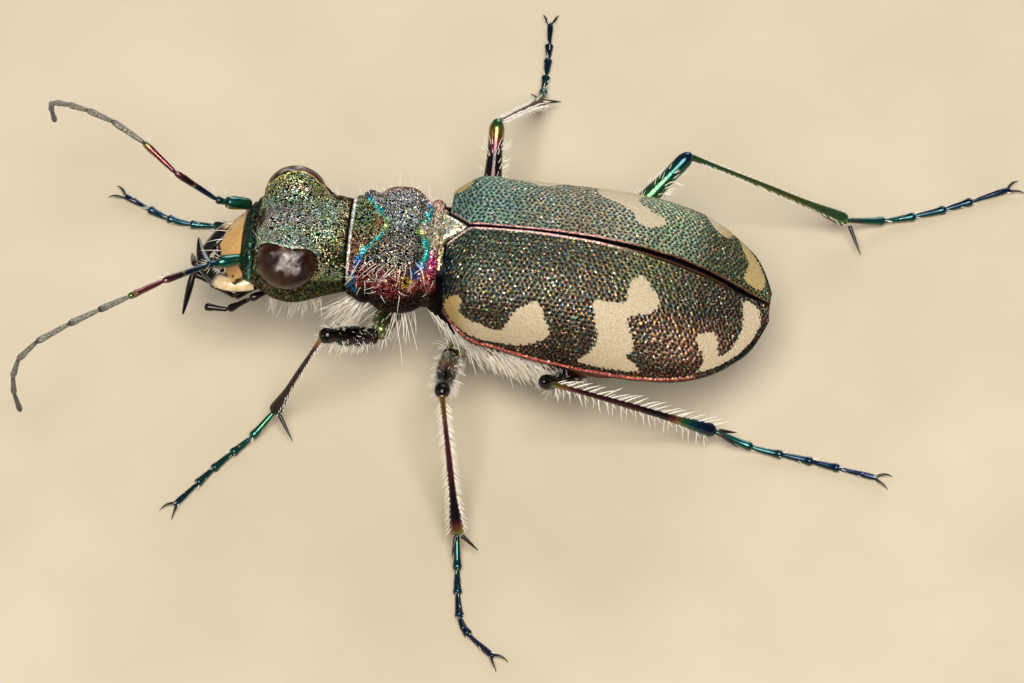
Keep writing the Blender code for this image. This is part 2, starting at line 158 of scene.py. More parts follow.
# A colour ramp over a factor, from evenly spaced hex colours
def ramp(tree, factor, codes, low=0.0, high=1.0, interpolation="LINEAR"):
    node = addNode(tree, "ValToRGB", {"Fac": factor})
    node.color_ramp.interpolation = interpolation
    while len(node.color_ramp.elements) < len(codes):
        node.color_ramp.elements.new(0.5)
    for k, (element, code) in enumerate(zip(node.color_ramp.elements, codes)):
        element.position = low + (high - low) * k / max(1, len(codes) - 1)
        element.color = tone(code)
    return node.outputs["Color"]


def blendColours(tree, factor, first, second, kind="MIX"):
    node = addNode(tree, "Mix", {0: factor, 6: first, 7: second}, data_type="RGBA", blend_type=kind)
    return node.outputs[2]


def field(tree, name):
    return addNode(tree, "Attribute", attribute_name=name).outputs["Fac"]


def surfacePlace(tree):
    return addNode(tree, "TexCoord").outputs["Object"]


def noiseAt(tree, size, detail=2.0, place=None):
    place = place or surfacePlace(tree)
    inputs = {"Vector": place, "Scale": perMm(size), "Detail": detail}
    return addNode(tree, "TexNoise", inputs).outputs["Fac"]


def addBump(tree, shader, height, depth, strength=1.0):
    bump = addNode(tree, "Bump", {"Height": height, "Distance": depth * mm, "Strength": strength})
    tree.links.new(bump.outputs["Normal"], shader.inputs["Normal"])


# Facets of the cuticle's net over the colour painted on the skin: each cell has its own
# brightness and its own tilt, and a share of the cells mirror a hue of their own
def facets(tree, size, hues, share, tilt, swing, peak):
    film = addNode(tree, "Attribute", attribute_name="film")
    cells = addNode(tree, "TexVoronoi", {"Vector": surfacePlace(tree), "Scale": perMm(size)})
    pick = addNode(tree, "SeparateColor", {0: cells.outputs["Color"]})
    glint = ramp(tree, pick.outputs[0], hues, interpolation="CONSTANT")
    lit = addNode(tree, "MapRange", {0: pick.outputs[1], 1: 1 - share, 2: 1.08 - share})
    lit = addNode(tree, "Math", {0: lit.outputs[0], 1: film.outputs["Alpha"]}, operation="MULTIPLY")
    colour = blendColours(tree, lit.outputs[0], film.outputs["Color"], glint)
    bright = addNode(tree, "Math", {0: pick.outputs[2], 1: 1.6}, operation="POWER")
    bright = addNode(tree, "MapRange", {0: bright.outputs[0], 3: 1 - swing, 4: peak})
    colour = blendColours(tree, 1.0, colour, bright.outputs[0], "MULTIPLY")
    off = addNode(tree, "VectorMath", {0: cells.outputs["Color"], 1: (0.5, 0.5, 0.5)}, operation="SUBTRACT")
    lean = addNode(tree, "VectorMath", {0: off.outputs[0], 3: tilt}, operation="SCALE")
    normal = addNode(tree, "NewGeometry").outputs["Normal"]
    turned = addNode(tree, "VectorMath", {0: normal, 1: lean.outputs[0]})
    return colour, addNode(tree, "VectorMath", {0: turned.outputs[0]}, operation="NORMALIZE").outputs[0]


# Fine curly wrinkles, as the level lines of a noise
def curls(tree, width):
    cloud = noiseAt(tree, width * 3.6, 0.6)
    waves = addNode(tree, "Math", {0: cloud, 1: 44.0}, operation="MULTIPLY")
    lines = addNode(tree, "Math", {0: waves.outputs[0]}, operation="SINE")
    return addNode(tree, "MapRange", {0: lines.outputs[0], 1: -0.2, 2: 0.8}).outputs[0]


# Insect cuticle, wrinkled: every facet of its fine net mirrors another hue, and the furrows
# between them are painted near black, dark bronze with painted shade in the creases, which gives the eye a coloured
# glitter on dark bronze.
def wrinkledCuticle(name, hues, dark, wrinkle, facet, share=0.4, peak=3.7, tilt=0.55, swing=0.85, roughness=0.36):
    material, tree, shader = newMaterial(name, Metallic=0.92, Roughness=roughness)
    shader.inputs["Specular Tint"].default_value = (0.4, 0.4, 0.4, 1.0)
    colour, normal = facets(tree, facet, hues, share, tilt, swing, peak)
    furrow = curls(tree, wrinkle)
    smooth = field(tree, "smooth")
    furrow = addNode(tree, "Math", {0: furrow, 1: smooth}, operation="MAXIMUM").outputs[0]
    base = blendColours(tree, furrow, tone(dark), colour)
    tree.links.new(base, shader.inputs["Base Color"])
    inputs = {"Height": furrow, "Distance": 0.022 * mm, "Normal": normal}
    bump = addNode(tree, "Bump", inputs)
    tree.links.new(bump.outputs["Normal"], shader.inputs["Normal"])
    return material


# Wing-case cuticle: dark blue pits between glittering bronze ridges, and markings of
# unpigmented horn, which look like dry cream enamel.
def wingCuticle():
    material, tree, shader = newMaterial("pittedWingCuticle")
    pit, cream = field(tree, "pit"), field(tree, "cream")
    hues = ("#C9A24E", "#D98B6E", "#5C9084", "#E8E2CC", "#7FA05C", "#3C6E8C", "#C07868")
    ridges, normal = facets(tree, 0.036, hues, 0.17, 0.15, 0.5, 1.8)
    patches = noiseAt(tree, 0.22, 2.0)
    hollow = ramp(tree, patches, ("#04060A", "#081420", "#0C2A40", "#0E4450"), 0.35, 0.68)
    dark = blendColours(tree, pit, hollow, ridges)
    grain = noiseAt(tree, 0.035, 2.0)
    pale = ramp(tree, grain, ("#A08E70", "#BCAC8E", "#C8BCA2"), 0.28, 0.72)
    olive = blendColours(tree, 1.0, pale, tone("#E0D29A"), "MULTIPLY")
    pale = blendColours(tree, field(tree, "yellowed"), pale, olive)
    tree.links.new(blendColours(tree, cream, dark, pale), shader.inputs["Base Color"])
    metal = addNode(tree, "MapRange", {0: cream, 3: 0.92, 4: 0.0})
    tree.links.new(metal.outputs[0], shader.inputs["Metallic"])
    rough = addNode(tree, "MapRange", {0: cream, 3: 0.46, 4: 0.6})
    tree.links.new(rough.outputs[0], shader.inputs["Roughness"])
    even = addNode(tree, "NewGeometry").outputs["Normal"]
    mixed = addNode(tree, "Mix", {0: cream, 4: normal, 5: even}, data_type="VECTOR")
    inputs = {"Height": noiseAt(tree, 0.03, 3.0), "Distance": 0.006 * mm, "Normal": mixed.outputs[1]}
    bump = addNode(tree, "Bump", inputs)
    tree.links.new(bump.outputs["Normal"], shader.inputs["Normal"])
    return material


# Compound eye: a lens skin over red-brown pigment, with a painted highlight, a pale cloud
# painted under its top where the lamps shine. Its many small facets blur its shine.
def eyeLens():
    material, tree, shader = newMaterial("compoundEye", Roughness=0.22, IOR=1.56, Specular_IOR_Level=0.22)
    base = ramp(tree, noiseAt(tree, 0.4, 3.0), ("#140603", "#2A1006", "#421F0D"), 0.3, 0.7)
    # the cloud field marks the painted highlight, mottled by noise
    cloud = addNode(tree, "MapRange", {0: noiseAt(tree, 0.10, 5.0), 1: 0.28, 2: 0.68})
    cloud = addNode(tree, "Math", {0: cloud.outputs[0], 1: field(tree, "cloud")}, operation="MULTIPLY")
    base = blendColours(tree, cloud.outputs[0], base, tone("#C4BEBC"))
    tree.links.new(base, shader.inputs["Base Color"])
    dimples = addNode(tree, "TexVoronoi", {"Vector": surfacePlace(tree), "Scale": perMm(0.034)})
    pick = addNode(tree, "SeparateColor", {0: dimples.outputs["Color"]})
    waves = addNode(tree, "Math", {0: noiseAt(tree, 0.18, 5.0), 1: 7.0}, operation="MULTIPLY")
    height = addNode(tree, "Math", {0: waves.outputs[0], 1: pick.outputs[0]}, operation="ADD")
    addBump(tree, shader, height.outputs[0], 0.0035)
    return material


# Pale horn of the upper lip: translucent chitin with brown edges
def paleHorn(name, light, edge):
    material, tree, shader = newMaterial(name, Roughness=0.32, Subsurface_Weight=0.1)
    shader.inputs["Subsurface Radius"].default_value = (0.3 * mm, 0.2 * mm, 0.1 * mm)
    base = blendColours(tree, field(tree, "edge"), tone(light), tone(edge))
    speckle = ramp(tree, noiseAt(tree, 0.12, 4.0), ("#D9C9A8", "#FFFFFF"), 0.25, 0.75)
    base = blendColours(tree, 0.6, base, speckle, "MULTIPLY")
    tree.links.new(base, shader.inputs["Base Color"])
    addBump(tree, shader, noiseAt(tree, 0.08, 3.0), 0.006)
    return material


# Hard black horn of spurs and claws: nearly black with a sharp gloss
def darkHorn():
    material, tree, shader = newMaterial("blackHorn", Roughness=0.38, Coat_Weight=0.2)
    base = ramp(tree, noiseAt(tree, 0.2, 3.0), ("#0A0808", "#1C120F"), 0.3, 0.7)
    tree.links.new(base, shader.inputs["Base Color"])
    addBump(tree, shader, noiseAt(tree, 0.06, 2.0), 0.003)
    return material


# Limb cuticle: a smooth metal sheen, whose hue runs from black violet through copper, gold
# and green to blue by how thin its outer film is
def limbCuticle(name, roughness, coat):
    material, tree, shader = newMaterial(name, Metallic=0.85, Roughness=roughness, Coat_Weight=coat)
    shader.inputs["Specular Tint"].default_value = (0.3, 0.3, 0.34, 1.0)
    shader.inputs["Coat Roughness"].default_value = 0.08
    grain = noiseAt(tree, 0.06, 3.0)
    drift = addNode(tree, "MapRange", {0: grain, 1: 0.3, 2: 0.7, 3: -0.08, 4: 0.08})
    hue = addNode(tree, "Math", {0: field(tree, "hue"), 1: drift.outputs[0]}, operation="ADD")
    film = ("#08070C", "#281B1C", "#743040", "#947038", "#38703E", "#12584E", "#0E304A", "#10163A")
    base = ramp(tree, hue.outputs[0], film)
    tree.links.new(base, shader.inputs["Base Color"])
    addBump(tree, shader, grain, 0.006)
    return material


# Felted cuticle of the outer feeler joints: a dense grey down that dulls the dark horn
def feltedCuticle():
    material, tree, shader = newMaterial("feltedFeelerCuticle", Roughness=0.75, Sheen_Weight=0.2)
    down = ramp(tree, noiseAt(tree, 0.035, 3.0), ("#2C2A22", "#706C5E", "#C0BCAC"), 0.3, 0.72)
    base = blendColours(tree, field(tree, "hue"), tone("#1E1A14"), down)
    tree.links.new(base, shader.inputs["Base Color"])
    addBump(tree, shader, noiseAt(tree, 0.03, 3.0), 0.006)
    return material


# Jaw chitin: cream outside near the joint, glossy black towards the teeth
def jawChitin():
    material, tree, shader = newMaterial("jawChitin", Roughness=0.22, Coat_Weight=0.5)
    pale = field(tree, "pale")
    cream = ramp(tree, noiseAt(tree, 0.15, 3.0), ("#C9AC7A", "#E4D2AC"), 0.3, 0.7)
    black = ramp(tree, noiseAt(tree, 0.2, 3.0), ("#080606", "#160E0C"), 0.3, 0.7)
    tree.links.new(blendColours(tree, pale, black, cream), shader.inputs["Base Color"])
    addBump(tree, shader, noiseAt(tree, 0.08, 2.0), 0.004)
    return material


# White hair: clear hollow chitin, which looks like thin glass fibre
def whiteHair():
    material, tree, shader = newMaterial("whiteSetae", Roughness=0.35, Metallic=0.0)
    base = ramp(tree, noiseAt(tree, 0.3, 2.0), ("#EFE6D2", "#FFFCF4"), 0.3, 0.7)
    tree.links.new(base, shader.inputs["Base Color"])
    return material


def paleFloor():
    material, tree, shader = newMaterial("paleBoard", Roughness=0.8)
    base = ramp(tree, noiseAt(tree, 4.0, 3.0), ("#BEB199", studioLight["floor"]), 0.3, 0.7)
    tree.links.new(base, shader.inputs["Base Color"])
    return material


# Shapes

# The other columns of rows at each x, on one smooth curve through them
def alongRows(rows, x):
    table = np.array(sorted(rows), float)
    places, values = table[:, 0], table[:, 1:]
    slopes = np.gradient(values, places, axis=0)
    x = np.atleast_1d(np.asarray(x, float))
    k = np.clip(np.searchsorted(places, x) - 1, 0, len(places) - 2)
    span = (places[k + 1] - places[k])[:, None]
    t = (x - places[k])[:, None] / span
    return (
        values[k] * (1 + 2 * t) * (1 - t) ** 2
        + values[k + 1] * t * t * (3 - 2 * t)
        + span * slopes[k] * t * (1 - t) ** 2
        - span * slopes[k + 1] * t * t * (1 - t)
    )


def bendTo(value, power):
    return np.sign(value) * np.abs(value) ** (2 / power)


def smoothStep(low, high, value):
    t = np.clip((value - low) / (high - low), 0, 1)
    return t * t * (3 - 2 * t)


def unit(vectors):
    return vectors / (np.linalg.norm(vectors, axis=-1, keepdims=True) + 1e-12)


# Noise for each point, from about -1 to 1, with features about that wide
def ripples(points, size, octaves=3, shift=0.0):
    flat = np.asarray(points).reshape(-1, 3) / size + shift
    values = [noise.fractal(Vector(p), 1.0, 2.0, octaves) for p in flat]
    return np.array(values).reshape(np.shape(points)[:-1])


# Points spread evenly along each row of points
def spreadEvenly(lines, count, closed=False):
    if closed:
        lines = np.concatenate([lines, lines[:, :1]], axis=1)
    result = np.empty((len(lines), count, 3))
    for k, line in enumerate(lines):
        steps = np.linalg.norm(np.diff(line, axis=0), axis=1)
        reach = np.concatenate([[0], np.cumsum(steps)])
        stops = np.linspace(0, reach[-1], count + 1)[:-1] if closed else np.linspace(0, reach[-1], count)
        for axis in range(3):
            result[k, :, axis] = np.interp(stops, reach, line[:, axis])
    return result


def gridFaces(rows, columns, wrap=True):
    i, j = np.meshgrid(
        np.arange(rows - 1), np.arange(columns if wrap else columns - 1), indexing="ij"
    )
    after = (j + 1) % columns
    corners = (i * columns + j, i * columns + after, (i + 1) * columns + after, (i + 1) * columns + j)
    return np.stack(corners, axis=-1).reshape(-1, 4).tolist()


# Colours over a skin: a base, and layers of a mask with its own colour. The last number of a
# layer is how much its facets glitter.
def paint(shape, base, *layers):
    colour = np.empty((*shape, 4))
    colour[:] = tone(base)
    for mask, code, *glitter in layers:
        target = np.array((*tone(code)[:3], glitter[0] if glitter else 1.0))
        colour += (target - colour) * np.clip(mask, 0, 1)[..., None]
    return colour


# A closed skin over rings, with its ends filled
def ringFaces(rows, columns):
    ends = [list(range(columns)), list(range((rows - 1) * columns, rows * columns))]
    return gridFaces(rows, columns) + ends


def outward(rings, wrap=True):
    if wrap:
        across = np.roll(rings, -1, axis=1) - np.roll(rings, 1, axis=1)
    else:
        across = np.gradient(rings, axis=1)
    normals = unit(np.cross(across, np.gradient(rings, axis=0)))
    middle = rings.mean(axis=1, keepdims=True) - (0 if wrap else np.array((0, 0, 1.0)))
    return normals if (normals * (rings - middle)).sum() > 0 else -normals


def ovalRings(rows, x, columns, power):
    half, top, bottom = alongRows(rows, x).T
    turns = 2 * math.pi * (np.arange(4 * columns) + 0.5) / (4 * columns) - math.pi / 2
    y = half[:, None] * bendTo(np.cos(turns), power)
    z = (top + bottom)[:, None] / 2 + (top - bottom)[:, None] / 2 * bendTo(np.sin(turns), power)
    rings = np.stack([np.broadcast_to(np.asarray(x)[:, None], y.shape), y, z], axis=-1)
    return spreadEvenly(rings, columns, closed=True)


# One piece of the beetle: it rides on the body and stands for the named nodes
def addPiece(name, points, faces, materials, nodes=(), fields=None, picks=None, uv=None, film=None):
    mesh = bpy.data.meshes.new(name)
    places = (np.asarray(points, float).reshape(-1, 3) + bodyPlace) * mm
    mesh.from_pydata(places.tolist(), [], faces)
    for key, values in (fields or {}).items():
        layer = mesh.attributes.new(key, "FLOAT", "POINT")
        layer.data.foreach_set("value", np.ravel(values).astype(np.float32))
    if film is not None:
        layer = mesh.attributes.new("film", "FLOAT_COLOR", "POINT")
        layer.data.foreach_set("color", np.ravel(film).astype(np.float32))
    materials = materials if isinstance(materials, (list, tuple)) else [materials]
    for material in materials:
        mesh.materials.append(material)
    if picks is not None:
        mesh.polygons.foreach_set("material_index", np.asarray(picks, np.int32))
    if uv is not None:
        layer = mesh.uv_layers.new(name="OFBake")
        corners = np.empty(len(mesh.loops), np.int32)
        mesh.loops.foreach_get("vertex_index", corners)
        layer.data.foreach_set("uv", np.asarray(uv, np.float32)[corners].ravel())
    bm = bmesh.new()
    bm.from_mesh(mesh)
    bmesh.ops.recalc_face_normals(bm, faces=bm.faces)
    bm.to_mesh(mesh)
    bm.free()
    mesh.shade_smooth()
    piece = bpy.data.objects.new(name, mesh)
    bpy.context.scene.collection.objects.link(piece)
    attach(piece, "root")
    if nodes:
        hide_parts(*nodes)
    print(f"{name}: {len(mesh.polygons)} faces")
    return piece


# Wing cases

wingCase = {
    # x, half width at the side margin, height of the back, height of the margin, squareness
    "rows": (
        (0.05, 1.56, 4.62, 3.34, 3.20),
        (0.55, 2.03, 4.78, 3.10, 3.20),
        (1.50, 2.20, 4.84, 2.86, 2.80),
        (2.70, 2.36, 4.80, 2.68, 2.45),
        (3.90, 2.48, 4.62, 2.60, 2.30),
        (5.00, 2.51, 4.28, 2.55, 2.20),
        (6.10, 2.34, 3.76, 2.50, 2.10),
        (7.00, 1.80, 3.14, 2.45, 2.10),
        (7.58, 1.08, 2.74, 2.42, 2.10),
        (7.84, 0.40, 2.60, 2.42, 2.10),
    ),
    # x and half the gap where the two meet: they part a little towards the rear
    "seam": ((0.05, 0.45), (0.30, 0.25), (0.56, 0.04), (2.0, 0.03), (4.0, 0.06),
             (5.5, 0.11), (6.8, 0.10), (7.6, 0.04), (7.84, 0.02)),
    "thickness": 0.22,
    "mesh": 0.0215,
    "pitSpacing": 0.129,
    "pitRadius": 0.035,
    "pitDepth": 0.030,
    "pitJitter": 0.21,
    "beadWidth": 0.06,
    "rimWidth": 0.085,
    "markRagged": 0.04,
}

# Outlines of the cream markings: x, and the share of the way from the seam to the margin
creamMarks = {
    "left": {
        "shoulder": ((0.08, 0.86), (0.12, 0.76), (0.17, 0.70), (0.30, 0.62), (0.47, 0.60), (0.54, 0.645),
                     (0.47, 0.735), (0.73, 0.765), (1.02, 0.77), (1.31, 0.80), (1.51, 0.785), (1.69, 0.69),
                     (1.80, 0.62), (1.96, 0.57), (2.19, 0.53), (2.33, 0.51), (2.43, 0.53), (2.51, 0.56),
                     (2.54, 0.60), (2.67, 0.665), (2.67, 0.73), (2.44, 0.80), (2.12, 0.865), (1.80, 0.90),
                     (1.50, 0.92), (1.14, 0.93), (0.78, 0.935), (0.40, 0.935), (0.15, 0.93)),
        "middle": ((3.42, 0.90), (3.62, 0.83), (3.87, 0.70), (3.80, 0.60), (3.73, 0.44), (4.10, 0.425),
                   (4.49, 0.40), (4.50, 0.33), (4.56, 0.25), (4.68, 0.20), (4.83, 0.185), (5.06, 0.25),
                   (5.26, 0.34), (5.20, 0.41), (5.05, 0.45), (4.80, 0.47), (4.60, 0.50), (4.56, 0.55),
                   (4.71, 0.66), (4.72, 0.73), (4.59, 0.79), (4.86, 0.87), (4.80, 0.915), (4.29, 0.925),
                   (3.80, 0.92)),
        "tip": ((6.34, 0.93), (6.44, 0.83), (6.36, 0.73), (6.22, 0.60), (6.34, 0.56), (6.61, 0.55),
                (6.72, 0.64), (6.76, 0.79), (6.90, 0.82), (7.10, 0.76), (7.25, 0.58), (7.26, 0.35),
                (7.22, 0.14), (7.34, 0.08), (7.52, 0.14), (7.62, 0.28), (7.66, 0.50), (7.64, 0.72),
                (7.48, 0.84), (7.20, 0.91), (6.80, 0.93)),
    },
    "right": {
        "shoulder": ((0.03, 0.86), (-0.03, 0.50), (0.06, 0.38), (0.26, 0.37), (0.44, 0.46), (0.50, 0.70),
                     (0.90, 0.76), (1.25, 0.74), (1.40, 0.60), (1.62, 0.55), (1.90, 0.50), (2.10, 0.455),
                     (2.39, 0.48), (2.54, 0.545), (2.67, 0.65), (2.67, 0.73), (2.44, 0.80), (2.12, 0.865),
                     (1.50, 0.92), (0.78, 0.935), (0.15, 0.93)),
        "middle": ((3.42, 0.90), (3.44, 0.70), (3.50, 0.52), (3.56, 0.44), (3.98, 0.38), (4.41, 0.31),
                   (4.54, 0.225), (4.86, 0.205), (5.18, 0.285), (5.17, 0.35), (4.80, 0.395), (4.50, 0.47),
                   (4.54, 0.58), (4.62, 0.70), (4.59, 0.79), (4.86, 0.87), (4.80, 0.915), (3.80, 0.92)),
        "tip": ((6.10, 0.93), (6.12, 0.80), (6.20, 0.70), (6.37, 0.61), (6.60, 0.59), (6.74, 0.66),
                (6.80, 0.80), (6.92, 0.84), (7.06, 0.70), (7.19, 0.59), (7.25, 0.50), (7.20, 0.30),
                (7.18, 0.19), (7.36, 0.15), (7.55, 0.20), (7.66, 0.40), (7.66, 0.72), (7.48, 0.84),
                (7.20, 0.91), (6.80, 0.93)),
    },
}
markScale = 3.5  # the width of a wing case over its arch, which turns shares into millimetres


# A closed outline as many short steps of a smooth curve through its points
def smoothOutline(points, steps=6):
    points = np.array(points, float)
    before, after, second = (np.roll(points, k, axis=0) for k in (1, -1, -2))
    parts = []
    for t in np.arange(steps) / steps:
        parts.append(0.5 * (
            2 * points + (after - before) * t
            + (2 * before - 5 * points + 4 * after - second) * t * t
            + (3 * points - before - 3 * after + second) * t ** 3
        ))
    return np.stack(parts, axis=1).reshape(-1, 2)


# Distance to a closed outline, below zero inside it
def outlineDistance(px, py, outline):
    nearest = np.full(px.shape, np.inf)
    inside = np.zeros(px.shape, bool)
    for (ax, ay), (bx, by) in zip(outline, np.roll(outline, -1, axis=0)):
        dx, dy = bx - ax, by - ay
        t = np.clip(((px - ax) * dx + (py - ay) * dy) / (dx * dx + dy * dy + 1e-12), 0, 1)
        nearest = np.minimum(nearest, np.hypot(px - ax - t * dx, py - ay - t * dy))
        if ay != by:
            crosses = ((ay > py) != (by > py)) & (px < dx * (py - ay) / (by - ay) + ax)
            inside ^= crosses
    return np.where(inside, -nearest, nearest)


# Distance to the nearest pit of a lattice in offset rows, each pit moved a little, and how
# near each point is to the spot behind its pit where a highlight is painted
def pitDistance(s, t, spacing, jitter, seed):
    high = spacing * math.sqrt(3) / 2
    rows, columns = int(t.max() / high) + 6, int(s.max() / spacing) + 6
    draws = np.random.RandomState(seed).uniform(-1, 1, (rows, columns, 2)) * jitter * spacing
    nearest = np.full(s.shape, np.inf)
    spot = np.zeros(s.shape)
    row = np.floor(t / high).astype(int)
    for up in (-1, 0, 1, 2):
        j = row + up + 2
        start = 0.5 * (j % 2)
        column = np.floor(s / spacing - start).astype(int)
        for over in (-1, 0, 1, 2):
            i = np.clip(column + over + 2, 0, columns - 1)
            jj = np.clip(j, 0, rows - 1)
            ds = s - (column + over + start) * spacing - draws[jj, i, 0]
            dt = t - (row + up) * high - draws[jj, i, 1]
            nearest = np.minimum(nearest, np.hypot(ds, dt))
            # the painted highlight: a bright spot on the same side of every pit, as if lit
            spot = np.maximum(spot, np.exp(-((ds - 0.052) ** 2 + (dt - 0.012) ** 2) / 0.018 ** 2))
    return nearest, spot


# Rows of x so close that no step of the surface is much longer than the mesh
def wingRows(mesh):
    w = wingCase
    fine = np.linspace(w["rows"][0][0], w["rows"][-1][0], 2000)
    half, top = alongRows(w["rows"], fine)[:, :2].T
    steps = np.sqrt(np.diff(fine) ** 2 + 0.6 * np.diff(half) ** 2 + 0.5 * np.diff(top) ** 2)
    reach = np.concatenate([[0], np.cumsum(steps)])
    return np.interp(np.linspace(0, reach[-1], int(reach[-1] / mesh)), reach, fine)


# The arch of a wing case at each x, from the seam to the margin, drawn in by shrink
def wingArch(x, shrink, columns):
    w = wingCase
    half, top, margin, power = alongRows(w["rows"], x).T
    seam = np.interp(x, *np.array(w["seam"]).T) + shrink * 0.3
    half = np.maximum(half - shrink, seam + 0.05)
    top = np.maximum(top - shrink, margin + 0.03)
    turns = np.linspace(0, math.pi / 2, 160)
    lines = []
    for k in range(len(x)):
        y = half[k] * np.sin(turns) ** (2 / power[k])
        z = margin[k] + (top[k] - margin[k]) * np.abs(np.cos(turns)) ** (2 / power[k])
        start = np.interp(seam[k], y, z)
        keep = y > seam[k]
        line = np.column_stack([np.full(keep.sum() + 1, x[k]), np.r_[seam[k], y[keep]], np.r_[start, z[keep]]])
        lines.append(spreadEvenly(line[None], columns)[0])
    return np.array(lines)


def makeWingCase(side, material):
    w = wingCase
    x = wingRows(w["mesh"])
    columns = int(markScale / w["mesh"]) + 6
    arch = wingArch(x, 0.0, columns)
    steps = np.linalg.norm(np.diff(arch, axis=1), axis=2)
    t = np.concatenate([np.zeros((len(x), 1)), np.cumsum(steps, axis=1)], axis=1)
    width = t[:, -1:]
    middleLine = arch[:, columns * 2 // 5]
    s = np.concatenate([[0], np.cumsum(np.linalg.norm(np.diff(middleLine, axis=0), axis=1))])
    s = np.broadcast_to(s[:, None], t.shape)
    share = t / width

    # the pits, and the cream marks whose edges follow them
    near, spot = pitDistance(s, t, w["pitSpacing"], w["pitJitter"], 3 if side == "left" else 4)
    pit = smoothStep(w["pitRadius"] * 0.7, w["pitRadius"] * 1.25, near)
    marks = np.full(t.shape, np.inf)
    for outline in creamMarks[side].values():
        scaled = smoothOutline(outline) * (1, markScale)
        marks = np.minimum(marks, outlineDistance(arch[..., 0], share * markScale, scaled))
    cream = smoothStep(0.012, -0.012, marks - w["markRagged"] * (pit - 0.6))
    bead = smoothStep(w["beadWidth"], w["beadWidth"] * 0.6, t)
    rim = smoothStep(w["rimWidth"], w["rimWidth"] * 0.7, width - t) * smoothStep(0.0, 0.3, x - 0.1)[:, None]
    rim = rim * smoothStep(6.3, 5.9, x)[:, None]
    plain = np.maximum(bead, smoothStep(w["rimWidth"] * 1.6, w["rimWidth"], width - t))
    pit = np.maximum(pit, plain)
    deep = w["pitDepth"] * (1 - 0.75 * cream)
    rise = deep * (np.clip(near / 0.072, 0, 1) ** 1.3 - 1) * (1 - plain)
    rise += 0.02 * np.sin(np.clip(t / w["beadWidth"], 0, 1) * math.pi)
    rise += 0.03 * np.sin(np.clip((width - t) / w["rimWidth"], 0, 1) * math.pi)
    rise -= 0.03 * np.exp(-((width - t - w["rimWidth"] * 1.3) / 0.03) ** 2)
    rise += 0.012 * ripples(arch, 0.9, 2, 5.0)
    normals = outward(arch, wrap=False)
    outer = arch + normals * rise[..., None]

    # the turned-down seam edge, the rim's underside and the hollow inside
    wall = np.stack([outer[:, :1] - (0, 0, drop) for drop in (0.30, 0.12, 0.04)], axis=1)[:, :, 0]
    edge = outer[:, -1:]
    under = np.concatenate([edge + (0, dy, dz) for dy, dz in ((0.0, -0.05), (-0.03, -0.11), (-0.22, -0.10))], axis=1)
    inside = wingArch(x, w["thickness"], 14)[:, ::-1]
    rings = np.concatenate([wall, outer, under, inside], axis=1)
    rings[..., 1] *= sides[side]

    def whole(values, low=0.0):
        count = rings.shape[1]
        full = np.full((len(x), count), low)
        full[:, 3:3 + columns] = values
        return full

    yellowed = smoothStep(0.9, 0.3, x)
    if side == "right":
        yellowed = np.maximum(yellowed, 0.9 * smoothStep(6.2, 6.8, x))
    # the pit field is 0 off the upper skin, so the seam wall, the rim's underside and the inside take the pits'
    # near-black colour: painted shade of the seam gap and the hollow
    fields = {
        "pit": whole(pit, 0.0),
        "cream": whole(cream),
        "yellowed": whole(np.broadcast_to(yellowed[:, None], t.shape)),
    }
    film = paint((len(x), rings.shape[1]), "#1A1512")
    film[:, 3:3 + columns] = wingHuesAndPaintedLight(side, x[:, None], share, spot, bead, rim)
    faces = ringFaces(*rings.shape[:2])
    return addPiece(f"wing_case_{side}", rings, faces, material, [f"elytron_{side}"],
                    fields, film=film)


# Thin-film hues of the ridges: teal at the front and beside the seam, bronze outwards, and
# salmon at the rear of the near side, where it turns away from the light. The two cases are painted unlike, the far
# right one lighter and greener and the near left one darker: painted light and shade of how each faces the lamps.
def wingHuesAndPaintedLight(side, x, share, spot, bead, rim):
    def bump(middle, width):
        return np.exp(-((x - middle) / width) ** 2)

    # painted shade along the rear of the outer edge
    edge = smoothStep(0.84, 0.93, share) * smoothStep(6.2, 6.6, x)
    if side == "left":
        # painted shade where the front of the left case slopes down
        paintedFrontShade = smoothStep(0.42, 0.12, x) * smoothStep(0.04, 0.2, share) * smoothStep(0.8, 0.6, share)
        return paint(
            share.shape, "#473D30",
            (smoothStep(0.75, 0.15, share) * smoothStep(4.4, 0.6, x), "#3E4B3A"),
            (smoothStep(0.5, 0.1, share) * bump(5.0, 1.1), "#666C48"),
            (bump(6.1, 0.9) * smoothStep(0.35, 0.6, share) * smoothStep(0.92, 0.75, share), "#8A6650", 0.7),
            (smoothStep(0.76, 0.92, share), "#3C241C", 0.7),
            # a painted highlight on the lit side of each pit
            (0.55 * spot, "#D8A888"),
            (paintedFrontShade, "#0C141C", 0.3),
            (edge, "#1A201A", 0.3),
            (bead * smoothStep(5.2, 3.6, x), "#C89C98", 0.1),
            (bead * smoothStep(3.6, 5.2, x), "#2C2018", 0.1),
            (rim, "#C46258", 0.1),
            (rim * smoothStep(4.6, 6.2, x), "#6A2E26", 0.1),
        )
    return paint(
        share.shape, "#7A806C",
        (smoothStep(2.4, 0.4, x), "#729486"),
        (bump(3.3, 0.8), "#867B64"),
        (0.7 * bump(4.4, 0.5), "#A49E84"),
        (bump(5.4, 0.7), "#8C9E78"),
        # a painted highlight on the lit side of each pit
        (0.55 * spot, "#C8D0A0"),
        # painted shade: the right case darker towards its rear and its outer edge
        (smoothStep(5.8, 6.5, x), "#585C3A"),
        (smoothStep(0.62, 0.84, share) * smoothStep(5.2, 6.0, x), "#2C362A", 0.4),
        (edge, "#1A201A", 0.3),
        (bead, "#A87C74", 0.1),
        (bead * smoothStep(3.6, 5.0, x), "#7C5236", 0.1),
        (rim, "#C46258", 0.1),
    )


